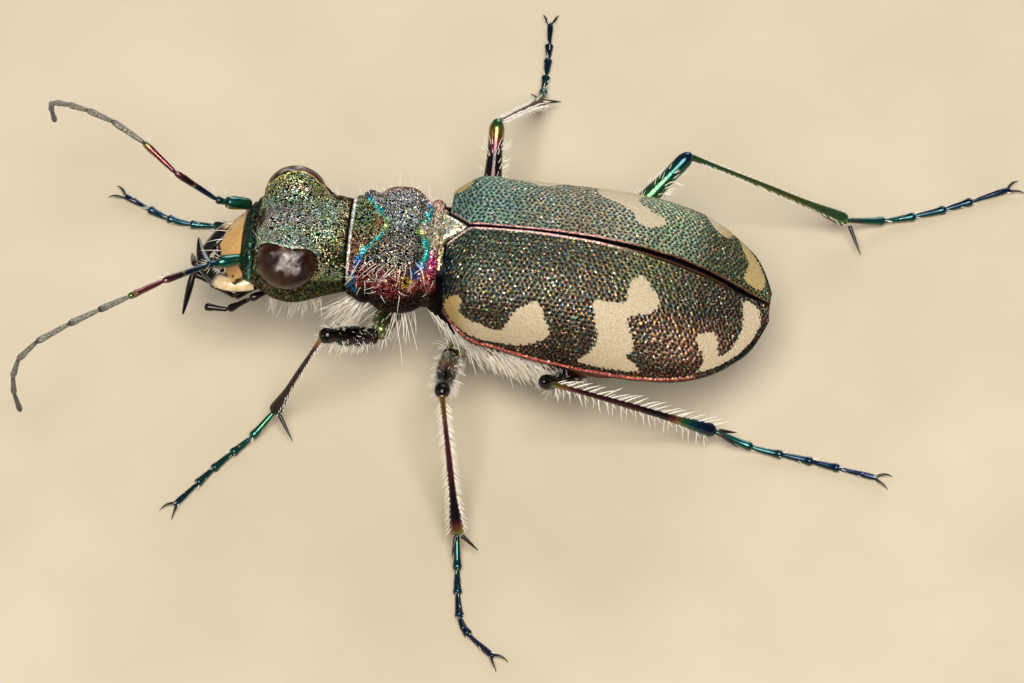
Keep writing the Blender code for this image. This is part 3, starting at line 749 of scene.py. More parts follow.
# Small shield between the wing cases
def makeScutellum(material):
    base, tip = wingFront - 0.12, wingFront + 0.46
    rings = []
    for t in np.linspace(0, 1, 14):
        x = base + (tip - base) * t
        half = 0.36 * (1 - t) ** 0.85 + 0.02
        y = np.linspace(-half, half, 13)
        top = 4.70 + 0.06 * (1 - (y / half) ** 2) - 0.05 * (1 - t) ** 3
        line = np.column_stack([np.full(13, x), y, top])
        below = line[::-1] - (0, 0, 0.35)
        rings.append(np.concatenate([line, below]))
    rings = np.array(rings)
    rings[..., 2] += 0.01 * ripples(rings, 0.12, 3)
    return addPiece("scutellum_shield", rings, ringFaces(*rings.shape[:2]), material,
                    ["scutellum"], {"smooth": 0.9 * np.ones(rings.shape[:2])},
                    film=paint(rings.shape[:2], "#E0CCA4"))


# Pale collar of the trunk between its fore part and the wing cases; its lower flanks and its front edge under the fore
# part are painted near black, painted shade of the gap.
def makeNeckBand(material):
    rows = ((-0.24, 1.10, 4.34, 2.60), (-0.14, 1.18, 4.42, 2.50), (-0.02, 1.16, 4.38, 2.50))
    x = np.linspace(-0.24, -0.02, 12)
    rings = ovalRings(rows, x, 240, 2.2)
    rings += outward(rings) * (0.02 * ripples(rings, 0.12, 3))[..., None]
    # painted shade: near black below and at the front edge
    film = paint(rings.shape[:2], "#DCC488", (np.broadcast_to(smoothStep(4.1, 3.8, rings[..., 2]), rings.shape[:2]), "#1C120C", 0.2),
                 (np.broadcast_to(smoothStep(-0.12, -0.17, rings[..., 0]), rings.shape[:2]), "#0A0808", 0.1))
    return addPiece("neck_band", rings, ringFaces(*rings.shape[:2]), material, (),
                    {"smooth": 0.7 * np.ones(rings.shape[:2])}, film=film)


# The flight wings' folded edges, glossy brown in the gap between the wing cases
def makeFoldedWings(material):
    x = np.linspace(1.2, 7.55, 160)
    top = alongRows(wingCase["rows"], x)[:, 1] - 0.13 - 0.12 * smoothStep(6.6, 7.5, x)
    half = np.interp(x, *np.array(wingCase["seam"]).T) + 0.12
    across = np.linspace(-1, 1, 31)
    folds = 0.035 * np.sin(across * 9.0 + 1.0) - 0.05 * across ** 2
    y = half[:, None] * across
    upper = np.stack([np.broadcast_to(x[:, None], y.shape), y, top[:, None] + folds], axis=-1)
    rings = np.concatenate([upper, upper[:, ::-1] - (0, 0, 0.10)], axis=1)
    hue = 0.10 + 0.36 * np.cos(np.concatenate([across, across[::-1]]) * 9.0) ** 4
    return addPiece("folded_wings", rings, ringFaces(*rings.shape[:2]), [material], (),
                    {"hue": np.broadcast_to(hue, rings.shape[:2])})


# Fore part of the trunk

shield = {
    # x, half width, top, bottom
    "rows": (
        (-2.33, 1.21, 4.57, 2.55),
        (-2.20, 1.27, 4.60, 2.50),
        (-1.93, 1.38, 4.66, 2.40),
        (-1.76, 1.36, 4.58, 2.40),
        (-1.50, 1.55, 4.60, 2.38),
        (-1.10, 1.62, 4.62, 2.38),
        (-0.72, 1.52, 4.58, 2.42),
        (-0.50, 1.34, 4.46, 2.45),
        (-0.30, 1.36, 4.56, 2.46),
        (-0.15, 1.28, 4.50, 2.50),
    ),
    "power": 2.2,
    "mesh": 0.0215,
    # the grooves as |y|, x from the middle outwards
    "frontGroove": ((0.0, -1.46), (0.22, -1.53), (0.55, -1.75), (0.80, -1.93), (1.02, -2.10), (1.20, -2.17), (1.6, -2.2)),
    "hindGroove": ((0.0, -0.70), (0.16, -0.62), (0.42, -0.44), (0.80, -0.46), (1.05, -0.60), (1.3, -0.74), (1.6, -0.8)),
    "grooveWidth": 0.06,
    "grooveWobble": 0.13,
    "grooveDepth": 0.055,
}


def makeShield(material):
    p = shield
    first, last = p["rows"][0][0], p["rows"][-1][0]
    x = np.linspace(first, last, int((last - first) / p["mesh"]))
    rings = ovalRings(p["rows"], x, 380, p["power"])
    side = np.abs(rings[..., 1])
    height = rings[..., 2]
    above = smoothStep(3.5, 3.9, height)
    wobble = p["grooveWobble"] * ripples(rings, 0.16, 3, 33.0)
    gap = rings[..., 0] - np.interp(side, *np.array(p["frontGroove"]).T) + wobble
    front = np.exp(-(gap / p["grooveWidth"]) ** 2) * smoothStep(3.4, 3.7, height)
    back = rings[..., 0] - np.interp(side, *np.array(p["hindGroove"]).T) - wobble
    hind = np.exp(-(back / p["grooveWidth"]) ** 2) * smoothStep(1.34, 1.2, side) * above
    middle = np.exp(-(side / 0.025) ** 2) * smoothStep(0.05, 0.12, gap) * smoothStep(-0.05, -0.12, back)
    rise = -p["grooveDepth"] * np.maximum(front, hind) - 0.015 * middle * above
    disc = smoothStep(0.0, 0.25, gap) * smoothStep(0.0, -0.25, back) * above
    rise += 0.05 * disc * (1 - np.exp(-(side / 0.25) ** 2))
    rise += 0.010 * ripples(rings, 0.10, 3) + 0.014 * ripples(rings, 0.35, 2, 9.0)
    collar = smoothStep(0.0, -0.05, gap)
    hindRim = smoothStep(0.0, 0.05, back)
    near = np.exp(-(side / 0.3) ** 2)
    flank = smoothStep(4.28, 4.0, height) * smoothStep(1.0, 1.3, side)
    patch = ripples(rings, 0.10, 2, 21.0)
    furrows = np.clip((1.3 + 0.9 * patch) * np.maximum(front, hind), 0, 1)
    beside = np.exp(-(np.minimum(np.abs(gap), np.abs(back)) / 0.09) ** 2) * above
    spot = np.exp(-((rings[..., 0] + 0.80) / 0.17) ** 2 - ((height - 4.12) / 0.14) ** 2) * smoothStep(1.0, 1.2, side)
    film = paint(
        side.shape, "#ECE8E0",
        (smoothStep(0.9, 0.2, side), "#DCE8DC"),
        # painted shade: the left half greyer and darker than the right
        (smoothStep(0.15, -0.30, rings[..., 1]), "#948A7A"),
        (collar, "#90A46C"),
        (collar * smoothStep(0.0, -0.8, rings[..., 1]), "#C08060", 0.5),
        (collar * near * smoothStep(-0.40, -0.05, gap), "#D07A3C", 0.3),
        # the rear rim: its own pink and gold, with a painted highlight that makes it pale, palest on the right
        (hindRim, "#FFD8B0"),
        (hindRim * smoothStep(0.45, 0.8, side), "#D83C80", 0.4),
        (hindRim * smoothStep(0.3, 0.7, rings[..., 1]), "#FFC0AC", 0.4),
        (0.65 * beside, "#A8C464", 0.3),
        (smoothStep(4.48, 4.14, height + 0.10 * patch) * smoothStep(0.85, 1.15, side), "#B03C4C", 0.5),
        (spot, "#FFB428", 0.2),
        # a painted highlight along the front rim
        (smoothStep(-2.24, -2.29, rings[..., 0]), "#FFF6E0", 0.0),
        (smoothStep(3.98, 3.66, height), "#24100A", 0.15),
        (furrows, "#28B4B8", 0.1),
        (furrows * smoothStep(0.34, 0.12, side), "#90A860", 0.2),
        (furrows * smoothStep(0.72, 1.0, side), "#1848A8", 0.1),
    )
    rings = rings + outward(rings) * rise[..., None]
    smooth = np.maximum.reduce([0.75 * np.maximum(front, hind), 0.45 * hindRim, smoothStep(-2.24, -2.29, rings[..., 0])])
    return addPiece("prothorax_shield", rings, ringFaces(*rings.shape[:2]), material,
                    ["pronotum"], {"smooth": smooth}, film=film)


# Head

skull = {
    "rows": (
        (-1.85, 0.86, 4.20, 2.90),
        (-2.25, 1.10, 4.48, 2.66),
        (-2.65, 1.18, 4.57, 2.56),
        (-3.15, 1.20, 4.60, 2.50),
        (-3.75, 1.20, 4.62, 2.48),
        (-4.30, 1.16, 4.54, 2.52),
        (-4.62, 1.06, 4.28, 2.60),
        (-4.85, 0.94, 3.94, 2.72),
        (-4.96, 0.80, 3.68, 2.86),
    ),
    "power": 2.3,
    "mesh": 0.0215,
    "eyePlace": (-3.765, 1.03, 4.12),
    "eyeRadii": (0.74, 0.64, 0.70),
    "eyeTilt": 14.0,
    # the way to the painted highlight on each eye, in the eye's own frame, and where its pale patch begins
    "paintedHighlightWay": {"left": (0.12, 0.79, 0.60), "right": (-0.03, 0.53, 0.85)},
    "paintedHighlightReach": {"left": 0.84, "right": 0.93},
    "rimLift": 1.09,
    "crest": ((-4.45, 0.94), (-4.25, 0.99), (-4.05, 1.08), (-3.85, 1.16), (-3.6, 1.20), (-3.4, 1.14), (-3.2, 1.05)),
    "cheek": 0.30,
    "faceStep": -4.70,
}


# A point in an eye's own frame, where the eye is the unit ball; it works for both sides
def inEye(points):
    radii, place = np.array(skull["eyeRadii"]), np.array(skull["eyePlace"])
    local = points * (1, 1, 1) - place
    tilt = math.radians(skull["eyeTilt"])
    y = local[..., 1] * math.cos(tilt) + local[..., 2] * math.sin(tilt)
    z = -local[..., 1] * math.sin(tilt) + local[..., 2] * math.cos(tilt)
    return np.stack([local[..., 0], y, z], axis=-1) / radii


def makeEye(side, material):
    rings = []
    for a in np.linspace(0.02, math.pi - 0.02, 70):
        turns = 2 * math.pi * np.arange(110) / 110
        rings.append(np.column_stack([
            np.full(110, math.cos(a)), math.sin(a) * np.cos(turns), math.sin(a) * np.sin(turns)
        ]))
    # the cloud field: a pale patch painted where the lamps shine on each eye, a painted highlight
    towardPaintedHighlight = np.array(rings) @ unit(np.array(skull["paintedHighlightWay"][side]))
    towardPaintedHighlight += 0.16 * ripples(rings, 0.4, 3, 12.0)
    ball = np.array(rings) * skull["eyeRadii"]
    tilt = math.radians(skull["eyeTilt"])
    y = ball[..., 1] * math.cos(tilt) - ball[..., 2] * math.sin(tilt)
    z = ball[..., 1] * math.sin(tilt) + ball[..., 2] * math.cos(tilt)
    rings = np.stack([ball[..., 0], y, z], axis=-1) + skull["eyePlace"]
    rings[..., 1] *= sides[side]
    return addPiece(f"compound_eye_{side}", rings, ringFaces(*rings.shape[:2]), material,
                    [f"eye_{side}"], {"cloud": 0.82 * smoothStep(skull["paintedHighlightReach"][side], 1.0, towardPaintedHighlight)})


def makeHead(material):
    h = skull
    first, last = h["rows"][-1][0], h["rows"][0][0]
    x = np.linspace(last, first, int((last - first) / h["mesh"]))
    rings = ovalRings(h["rows"], x, 380, h["power"])

    # the plate beside each eye climbs its ball, up to a crest over the top of the eye
    axis = np.stack([rings[..., 0], np.zeros(rings.shape[:2]), np.full(rings.shape[:2], 3.6)], axis=-1)
    folded = rings * (1, 1, 1)
    folded[..., 1] = np.abs(rings[..., 1])
    start, way = inEye(axis), inEye(folded) - inEye(axis)
    qa, qb = (way * way).sum(-1), 2 * (start * way).sum(-1)
    qc = (start * start).sum(-1) - h["rimLift"] ** 2
    root = qb * qb - 4 * qa * qc
    reach = np.where(root > 0, (-qb + np.sqrt(np.maximum(root, 0))) / (2 * qa), 0.0)
    top = axis + (folded - axis) * reach[..., None]
    wide = top[..., 1] / np.interp(top[..., 0], *zip(*h["crest"]))
    covers = smoothStep(1.03, 0.97, wide) * (root > 0) * (folded[..., 2] > 3.6)
    scale = 1 + (np.maximum(reach, 1.0) - 1) * covers
    lifted = axis + (rings - axis) * scale[..., None]
    folded = lifted * (1, 1, 1)
    side = folded[..., 1] = np.abs(lifted[..., 1])
    height = lifted[..., 2]
    crest = covers * smoothStep(0.90, 0.98, wide) * (reach > 1.0)
    nearEye = np.linalg.norm(inEye(folded), axis=-1)

    # cheeks, wrinkles, the furrows behind each eye and the step down to the face
    cheek = np.exp(-((lifted[..., 0] + 3.72) / 0.80) ** 2 - ((height - 3.05) / 0.42) ** 2)
    rise = h["cheek"] * cheek * smoothStep(0.8, 1.1, side)
    rise += 0.008 * ripples(lifted, 0.09, 3) + 0.012 * ripples(lifted, 0.3, 2, 4.0)
    temple = smoothStep(1.6, 1.1, nearEye) * smoothStep(-3.75, -3.3, lifted[..., 0]) * (1 - covers)
    rise += 0.010 * np.sin(nearEye * 60) * temple
    line = np.exp(-((lifted[..., 0] - h["faceStep"]) / 0.03) ** 2) * smoothStep(3.0, 3.4, height)
    hollow = np.exp(-((lifted[..., 0] + 4.50) / 0.14) ** 2 - (side / 0.42) ** 2) * smoothStep(3.8, 4.0, height)
    rise -= 0.05 * line + 0.05 * hollow
    rings = lifted + outward(lifted) * rise[..., None]
    face = smoothStep(h["faceStep"] + 0.02, h["faceStep"] - 0.02, rings[..., 0])
    right = (rings[..., 1] > 0) * 1.0
    rear = smoothStep(-2.9, -2.4, rings[..., 0])
    across = rings[..., 1]
    over = smoothStep(3.9, 4.2, height)

    def band(middle, width):
        return np.exp(-((across - middle) / width) ** 2) * smoothStep(-2.9, -3.3, rings[..., 0]) * over

    grains = ripples(lifted, 0.07, 2, 51.0)
    film = paint(
        side.shape, "#B4D098",
        (band(0.72, 0.11), "#EC8098", 0.5),
        (band(0.46, 0.14), "#7CD08C"),
        (band(0.0, 0.30), "#E8B8CC"),
        (band(-0.62, 0.2), "#CCF8B8"),
        (rear * over, "#947C48", 0.6),
        (smoothStep(0.40, 0.80, side) * smoothStep(-3.30, -2.9, rings[..., 0]) * over, "#3A3014", 0.2),
        (temple * smoothStep(-0.3, 0.6, np.sin(nearEye * 60)), "#E8D490", 0.2),
        # painted reflection of the lamps: the crest over each eye is given other hues on the two sides, pale green with
        # white glints on the left, gold and copper on the right
        (covers * smoothStep(0.50, 0.75, wide) * (1 - right), "#D4F4D0"),
        (covers * smoothStep(0.54, 0.74, wide) * (1 - right) * smoothStep(0.05, 0.4, grains), "#FFFCE8", 0.2),
        (covers * smoothStep(0.94, 0.99, wide) * (1 - right), "#2C8C78", 0.3),
        (covers * smoothStep(0.45, 0.8, wide) * right, "#D0DC70"),
        (crest * right, "#F8A42C", 0.1),
        (crest * right * smoothStep(-4.0, -3.6, rings[..., 0]), "#D0585A", 0.2),
        (smoothStep(3.95, 3.6, height), "#1C1C0E", 0.1),
        # dark brown in the hollow and at the front: the face's dark horn, with painted shade in the hollow
        (np.maximum(hollow * 1.2, smoothStep(-4.42, -4.60, rings[..., 0])), "#1A1610", 0.15),
        (np.exp(-((rings[..., 0] + 4.22) / 0.13) ** 2 - ((across + 0.36) / 0.3) ** 2) * over, "#F4ECC8", 0.4),
        (face, "#081E1A", 0.1),
        (0.7 * line * smoothStep(0.0, -0.6, across), "#3C9C94", 0.1),
        # painted shade: the rear edge near black, in the gap under the fore part
        (smoothStep(-2.45, -2.38, rings[..., 0]), "#0C0806", 0.0),
    )
    smooth = np.maximum.reduce([smoothStep(3.9, 3.5, height) * 0.9, hollow, face * 0.8, crest])
    return addPiece("head_capsule", rings, ringFaces(*rings.shape[:2]), material,
                    ["head"], {"smooth": smooth}, film=film)


# Mouth parts

mouth = {
    "lipBack": (-4.98, 3.60),
    "lipFront": (-5.50, 3.10),
    "lipHalf": 1.08,
    "lipThick": 0.14,
    "lipSag": 0.35,
    "jawJoint": (-4.66, 0.84, 2.88),
    "jawBulge": (-5.80, 1.24, 2.88),
    "jawTip": (-6.10, -0.34),
    "jawLevel": {"left": 2.86, "right": 2.40},
    # share of the length, half width across the level, half height
    "jawShape": ((0.0, 0.22, 0.20), (0.22, 0.23, 0.17), (0.45, 0.24, 0.15), (0.7, 0.19, 0.12), (1.0, 0.03, 0.03)),
    "teeth": ((0.40, 0.46, 0.13), (0.58, 0.40, 0.12), (0.76, 0.28, 0.09)),
}


# A point of the lip's upper face, by its share of the length and of the half width
def lipPlace(t, share):
    m = mouth
    (back, high), (front, low) = m["lipBack"], m["lipFront"]
    lobe = np.abs(share) ** 3.2
    deep = (front - back) * (1 - 0.10 * lobe) * np.sqrt(np.clip(1 - np.clip(np.abs(share) - 0.78, 0, 1) ** 2 / 0.0485, 0.002, 1))
    tooth = 0.07 * np.exp(-(share / 0.10) ** 2) * t ** 4
    x = 0.5 * (back + front) + 0.21 * smoothStep(0.2, 0.88, np.abs(share)) + deep * (t - 0.5) - tooth
    z = high + (low - high) * t ** 1.4 * (1 - 0.42 * t * lobe) - m["lipSag"] * share ** 2
    return np.column_stack([x, m["lipHalf"] * share, z - 0.03 * smoothStep(0.85, 1.0, t)])


def makeLip(material):
    m = mouth
    rings, edges = [], []
    for t in np.linspace(0, 1, 26):
        half = m["lipHalf"]
        share = np.linspace(-1, 1, 101)
        top = lipPlace(t, share)
        lower = top[::-1] - (0, 0, m["lipThick"])
        rings.append(np.concatenate([top, lower]))
        rim = np.maximum(smoothStep(0.93, 0.97, np.abs(share)), smoothStep(0.92, 0.97, t))
        pores = np.zeros_like(share)
        for place in (-0.84, -0.42, 0.32, 0.84):
            pores = np.maximum(pores, smoothStep(0.05, 0.02, np.hypot((share - place) * half, (t - 0.66) * 0.5)))
        rim = np.maximum(rim, pores)
        edges.append(np.concatenate([rim, np.ones_like(rim)]))
    rings = np.array(rings)
    return addPiece("upper_lip", rings, ringFaces(*rings.shape[:2]), material,
                    ["labrum"], {"edge": np.array(edges)})


# Rings round a path, half as wide and as high as the radii say
def sweep(path, radii, columns=14, up=(0, 0, 1)):
    path = np.asarray(path, float)
    radii = np.asarray(radii, float)
    radii = np.column_stack([radii, radii]) if radii.ndim == 1 else radii
    ways = unit(np.gradient(path, axis=0))
    across = unit(np.cross(np.array(up, float), ways[0]))
    turns = 2 * math.pi * (np.arange(columns) + 0.5) / columns
    rings, radials = [], []
    for place, way, (wide, high) in zip(path, ways, radii):
        across = unit(across - way * (across @ way))
        above = np.cross(way, across)
        radial = np.cos(turns)[:, None] * across * wide + np.sin(turns)[:, None] * above * high
        rings.append(place + radial)
        radials.append(radial)
    return np.array(rings), unit(np.array(radials)), ways


# A limb joint: its skin from a line and a table of share, radius; both ends are rounded
def limbJoint(line, table, count=30, columns=16, blunt=0.06, flat=1.0):
    t = 0.5 - 0.5 * np.cos(math.pi * np.linspace(0, 1, count))
    radii = alongRows(table, t)[:, 0]
    for near in (t, 1 - t):
        radii = radii * np.sqrt(np.clip(1 - (1 - np.clip(near / blunt, 0, 1)) ** 2, 0.002, 1))
    rings, radials, ways = sweep(line(t), np.column_stack([radii, radii * flat]), columns)
    return rings, t


def straight(start, end, bow=0.0):
    start, end = np.asarray(start, float), np.asarray(end, float)
    lift = np.array((0, 0, bow * 4))
    return lambda t: start + (end - start) * t[:, None] + lift * (t * (1 - t))[:, None]


# Several skins as one mesh, each with its own value of hue along it and its own material. On each skin the hue falls to
# black violet on its underside: painted shade.
def joinSkins(skins):
    points, faces, hues, picks, count = [], [], [], [], 0
    for rings, hue, pick in skins:
        points.append(rings.reshape(-1, 3))
        local = ringFaces(*rings.shape[:2])
        faces += [[k + count for k in face] for face in local]
        # painted shade: the hue drops to black violet where the skin faces down
        turned = unit(rings - rings.mean(axis=1, keepdims=True))[..., 2]
        hue = np.asarray(hue, float).reshape(-1, 1) * smoothStep(-0.55, 0.1, turned)
        hues.append(hue.ravel())
        picks += [pick] * len(local)
        count += rings.shape[0] * rings.shape[1]
    return np.concatenate(points), faces, np.concatenate(hues), picks


def makeJaw(side, materials):
    m = mouth
    sign, level = sides[side], m["jawLevel"][side]
    a, b, c = np.array(m["jawJoint"]), np.array(m["jawBulge"]), np.array((*m["jawTip"], level))

    def line(t):
        t = t[:, None]
        points = a * (1 - t) ** 2 + b * 2 * t * (1 - t) + c * t * t
        points[:, 2] = a[2] + (level - a[2]) * np.minimum(1, 1.6 * t[:, 0])
        return points * (1, sign, 1)

    t = 0.5 - 0.5 * np.cos(math.pi * np.linspace(0, 1, 54))
    shape = alongRows(m["jawShape"], t)
    ends = np.sqrt(np.clip(1 - (1 - np.clip((1 - t) / 0.03, 0, 1)) ** 2, 0.01, 1))
    rings, radials, ways = sweep(line(t), shape * ends[:, None], 26)
    outer = radials @ np.array((-0.35, sign, 0.25))
    pale = smoothStep(0.46, 0.38, t)[:, None] * smoothStep(-0.15, 0.1, outer)
    skins = [(rings, 0, 0)]
    fields = [pale.ravel()]
    inward = unit(np.array((0.25, -sign, 0)))
    for share, length, width in m["teeth"]:
        root = line(np.array([share]))[0] + inward * 0.05
        tooth, _ = limbJoint(straight(root, root + inward * length + (-0.05, 0, -0.03)),
                             ((0, width), (0.5, width * 0.75), (1, width * 0.16)), 14, 12, 0.04)
        skins.append((tooth, 0, 0))
        fields.append(np.zeros(tooth.shape[0] * tooth.shape[1]))
    points, faces, _, picks = joinSkins(skins)
    return addPiece(f"jaw_{side}", points, faces, materials, [f"mandible_{side}"],
                    {"pale": np.concatenate(fields)}, picks)


palpLines = {
    "palp_maxillary": ((-4.50, 0.72, 2.56), (-5.10, 0.80, 2.12), (-5.75, 0.35, 2.00), (-6.20, 0.12, 2.02),
                       (-6.38, 0.92, 1.34)),
    "palp_labial": ((-4.10, 0.70, 2.52), (-4.70, 1.04, 2.42), (-5.22, 1.18, 2.10), (-5.80, 1.14, 2.08)),
}


def makePalp(kind, side, material):
    skins = []
    places = np.array(palpLines[kind]) * (1, sides[side], 1)
    for k, (start, end) in enumerate(zip(places, places[1:])):
        shape = ((0, 0.055), (0.5, 0.07), (0.9, 0.095), (1, 0.08))
        if kind == "palp_maxillary" and k == 3:
            shape = ((0, 0.07), (0.3, 0.085), (0.7, 0.06), (1, 0.025))
        rings, t = limbJoint(straight(start, end), shape, 16, 12, 0.08)
        skins.append((rings, 0.02 + 0.1 * t, 0))
    points, faces, hues, picks = joinSkins(skins)
    return addPiece(f"{kind.replace('palp_', '')}_palp_{side}", points, faces, [material],
                    [f"{kind}_{side}"], {"hue": hues}, picks)


# Feelers

feeler = {
    "root": (-4.85, 0.82, 3.77),
    "lengths": (0.68, 0.26, 1.22, 1.04, 1.00, 0.92, 0.88, 0.82, 0.76, 0.70, 0.74),
    # degrees outwards from straight ahead and upwards, at five even stations
    "lines": {
        "left": ((24, 41, 47, 5, 4), (13, 10, 17, -67, -105)),
        "right": ((-30, 27, 36, 53, 108), (23, 30, -19, -48, -80)),
    },
    "radii": (0.155, 0.088, 0.076, 0.076, 0.076, 0.074, 0.072, 0.070, 0.068, 0.066, 0.062),
    # hues along each of the four shiny joints; the others are felted, darker towards the tip
    "hues": (
        ((0, 0.64), (1, 0.74)),
        ((0, 0.74), (1, 0.84)),
        ((0, 0.82), (0.5, 1.0), (0.56, 0.08), (1, 0.26)),
        ((0, 0.24), (0.8, 0.34), (1, 0.60)),
    ),
    "down": ((4, 1.0), (7, 0.85), (10, 0.25)),
}


def feelerPlaces(side):
    turns, rises = feeler["lines"][side]
    stations = [(k / 4, *pair) for k, pair in enumerate(zip(turns, rises))]
    whole = sum(feeler["lengths"])
    places, done = [np.array(feeler["root"]) * (1, sides[side], 1)], 0.0
    for length in feeler["lengths"]:
        turn, rise = np.radians(alongRows(stations, (done + length / 2) / whole)[0])
        way = np.array((-math.cos(turn) * math.cos(rise), sides[side] * math.sin(turn) * math.cos(rise),
                        math.sin(rise)))
        places.append(places[-1] + way * length)
        done += length
    return np.array(places)


def makeFeeler(side, materials):
    places = feelerPlaces(side)
    skins = []
    for k, (start, end) in enumerate(zip(places, places[1:])):
        r = feeler["radii"][k]
        shape = ((0, 0.62 * r), (0.15, 0.8 * r), (0.6, r), (0.88, 1.12 * r), (1, 0.85 * r))
        if k == 0:
            shape = ((0, 0.6 * r), (0.12, 0.85 * r), (0.4, r), (0.85, r), (1, 0.8 * r))
        rings, t = limbJoint(straight(start, end + (end - start) * 0.02), shape, 26, 14, 0.05)
        if k < len(feeler["hues"]):
            skins.append((rings, np.interp(t, *np.array(feeler["hues"][k]).T), 0))
        else:
            down = np.interp(k, *np.array(feeler["down"]).T)
            skins.append((rings, down * smoothStep(1.0, 0.84, t) * smoothStep(0.0, 0.1, t), 1))
    points, faces, hues, picks = joinSkins(skins)
    return addPiece(f"feeler_{side}", points, faces, materials, [f"antenna_{side}"],
                    {"hue": hues}, picks)


# Legs

legPlaces = {
    # hip, knee, ankle, points along the floor, bow of the thigh
    "front_left": ((-1.30, -0.62, 2.04), (-2.70, -2.56, 3.33), (-3.88, -2.95, 0.55),
                   ((-5.02, -4.25), (-6.03, -5.66)), -0.05),
    "front_right": ((-1.30, 0.62, 2.04), (-3.55, 2.10, 3.15), (-5.35, 2.55, 0.55),
                    ((-6.90, 2.70), (-8.45, 3.38)), -0.05),
    "middle_left": ((0.78, -0.82, 1.22), (0.30, -3.93, 3.35), (0.88, -6.05, 0.55),
                    ((1.05, -7.45), (1.27, -8.38), (2.10, -9.20)), -0.12),
    "middle_right": ((0.78, 0.82, 1.22), (0.76, 4.36, 3.10), (1.56, 6.95, 0.55),
                     ((1.58, 8.40), (1.52, 9.78)), -0.12),
    "hind_left": ((3.72, -0.88, 1.10), (2.68, -3.09, 2.95), (6.75, -2.45, 0.55),
                  ((8.80, -2.72), (10.80, -3.10)), -0.36),
    "hind_right": ((3.72, 0.88, 1.10), (5.50, 3.84, 3.10), (9.40, 4.15, 0.55),
                   ((11.40, 4.90), (13.35, 5.85)), -0.26),
}
legShape = {
    # share of the length, radius
    "thigh": ((0.0, 0.17), (0.15, 0.23), (0.35, 0.255), (0.6, 0.23), (0.8, 0.185), (0.93, 0.19), (1.0, 0.165)),
    "shin": ((0.0, 0.085), (0.08, 0.07), (0.5, 0.078), (0.78, 0.105), (0.92, 0.16), (0.97, 0.17), (1.0, 0.14)),
    "footJoints": (0.0, 0.25, 0.43, 0.61, 0.77, 1.0),
    "footJoint": ((0.0, 0.048), (0.2, 0.064), (0.75, 0.092), (0.93, 0.104), (1.0, 0.075)),
    "footEnd": ((0.0, 0.045), (0.3, 0.054), (0.85, 0.072), (1.0, 0.06)),
    "footAxis": 0.100,
    "claw": 0.36,
}
# where a thigh starts that doesn't leave its hip in line
elbows = {
    "front_left": (-1.52, -1.56, 2.05),
    "middle_left": (0.24, -1.44, 1.50),
    "hind_right": (2.90, 1.20, 1.30),
}
# the two spurs at the end of each shin, from root to tip
spurs = {
    "front_left": ((0.37, -0.50, -0.34), (-0.16, -0.18, -0.20)),
    "front_right": ((-0.10, -0.50, -0.34), (-0.22, 0.10, -0.20)),
    "middle_left": ((0.42, -0.22, -0.26), (-0.05, -0.42, -0.26)),
    "middle_right": ((0.38, 0.22, -0.26), (-0.22, 0.36, -0.26)),
    "hind_left": ((0.46, -0.20, -0.24), (0.42, 0.12, -0.20)),
    "hind_right": ((0.34, -0.62, -0.34), (0.40, 0.10, -0.20)),
}
# hues along the thigh, the shin and the foot: 0 is black violet, then copper pink, gold,
# green, teal and blue at 1
legHues = {
    "front_left": ((0.08, 0.02, 0.02, 0.02, 0.10), (0.57, 0.15, 0.13, 0.14, 0.12, 0.04), (0.64, 0.84)),
    "front_right": ((0.10, 0.05), (0.16, 0.12), (0.72, 0.92)),
    "middle_left": ((0.60, 0.57, 0.52, 0.30, 0.04, 0.03, 0.10), (0.44, 0.40, 0.27, 0.27, 0.22, 0.14, 0.06, 0.62), (0.72, 1.0)),
    "middle_right": ((0.20, 0.24, 0.22, 0.08, 0.62), (0.30, 0.16), (0.72, 0.95)),
    "hind_left": ((0.16, 0.03), (0.56, 0.42, 0.18, 0.17, 0.20, 0.20, 0.14, 0.10, 0.58, 0.90, 0.98), (0.70, 0.98)),
    "hind_right": ((0.24, 0.30, 0.52, 0.62, 0.90), (0.60, 0.53, 0.52, 0.58), (0.68, 0.93)),
}


def footLine(leg):
    ankle = np.array(leg[2])
    floorPlaces = [(*place, legShape["footAxis"]) for place in leg[3]]
    landing = (ankle + floorPlaces[0]) / 2
    landing[2] = legShape["footAxis"] + 0.07
    places = np.array([ankle, landing, *floorPlaces])
    reach = np.concatenate([[0], np.cumsum(np.linalg.norm(np.diff(places, axis=0), axis=1))])
    rows = np.column_stack([reach / reach[-1], places]).tolist()
    return lambda t: alongRows(rows, t)


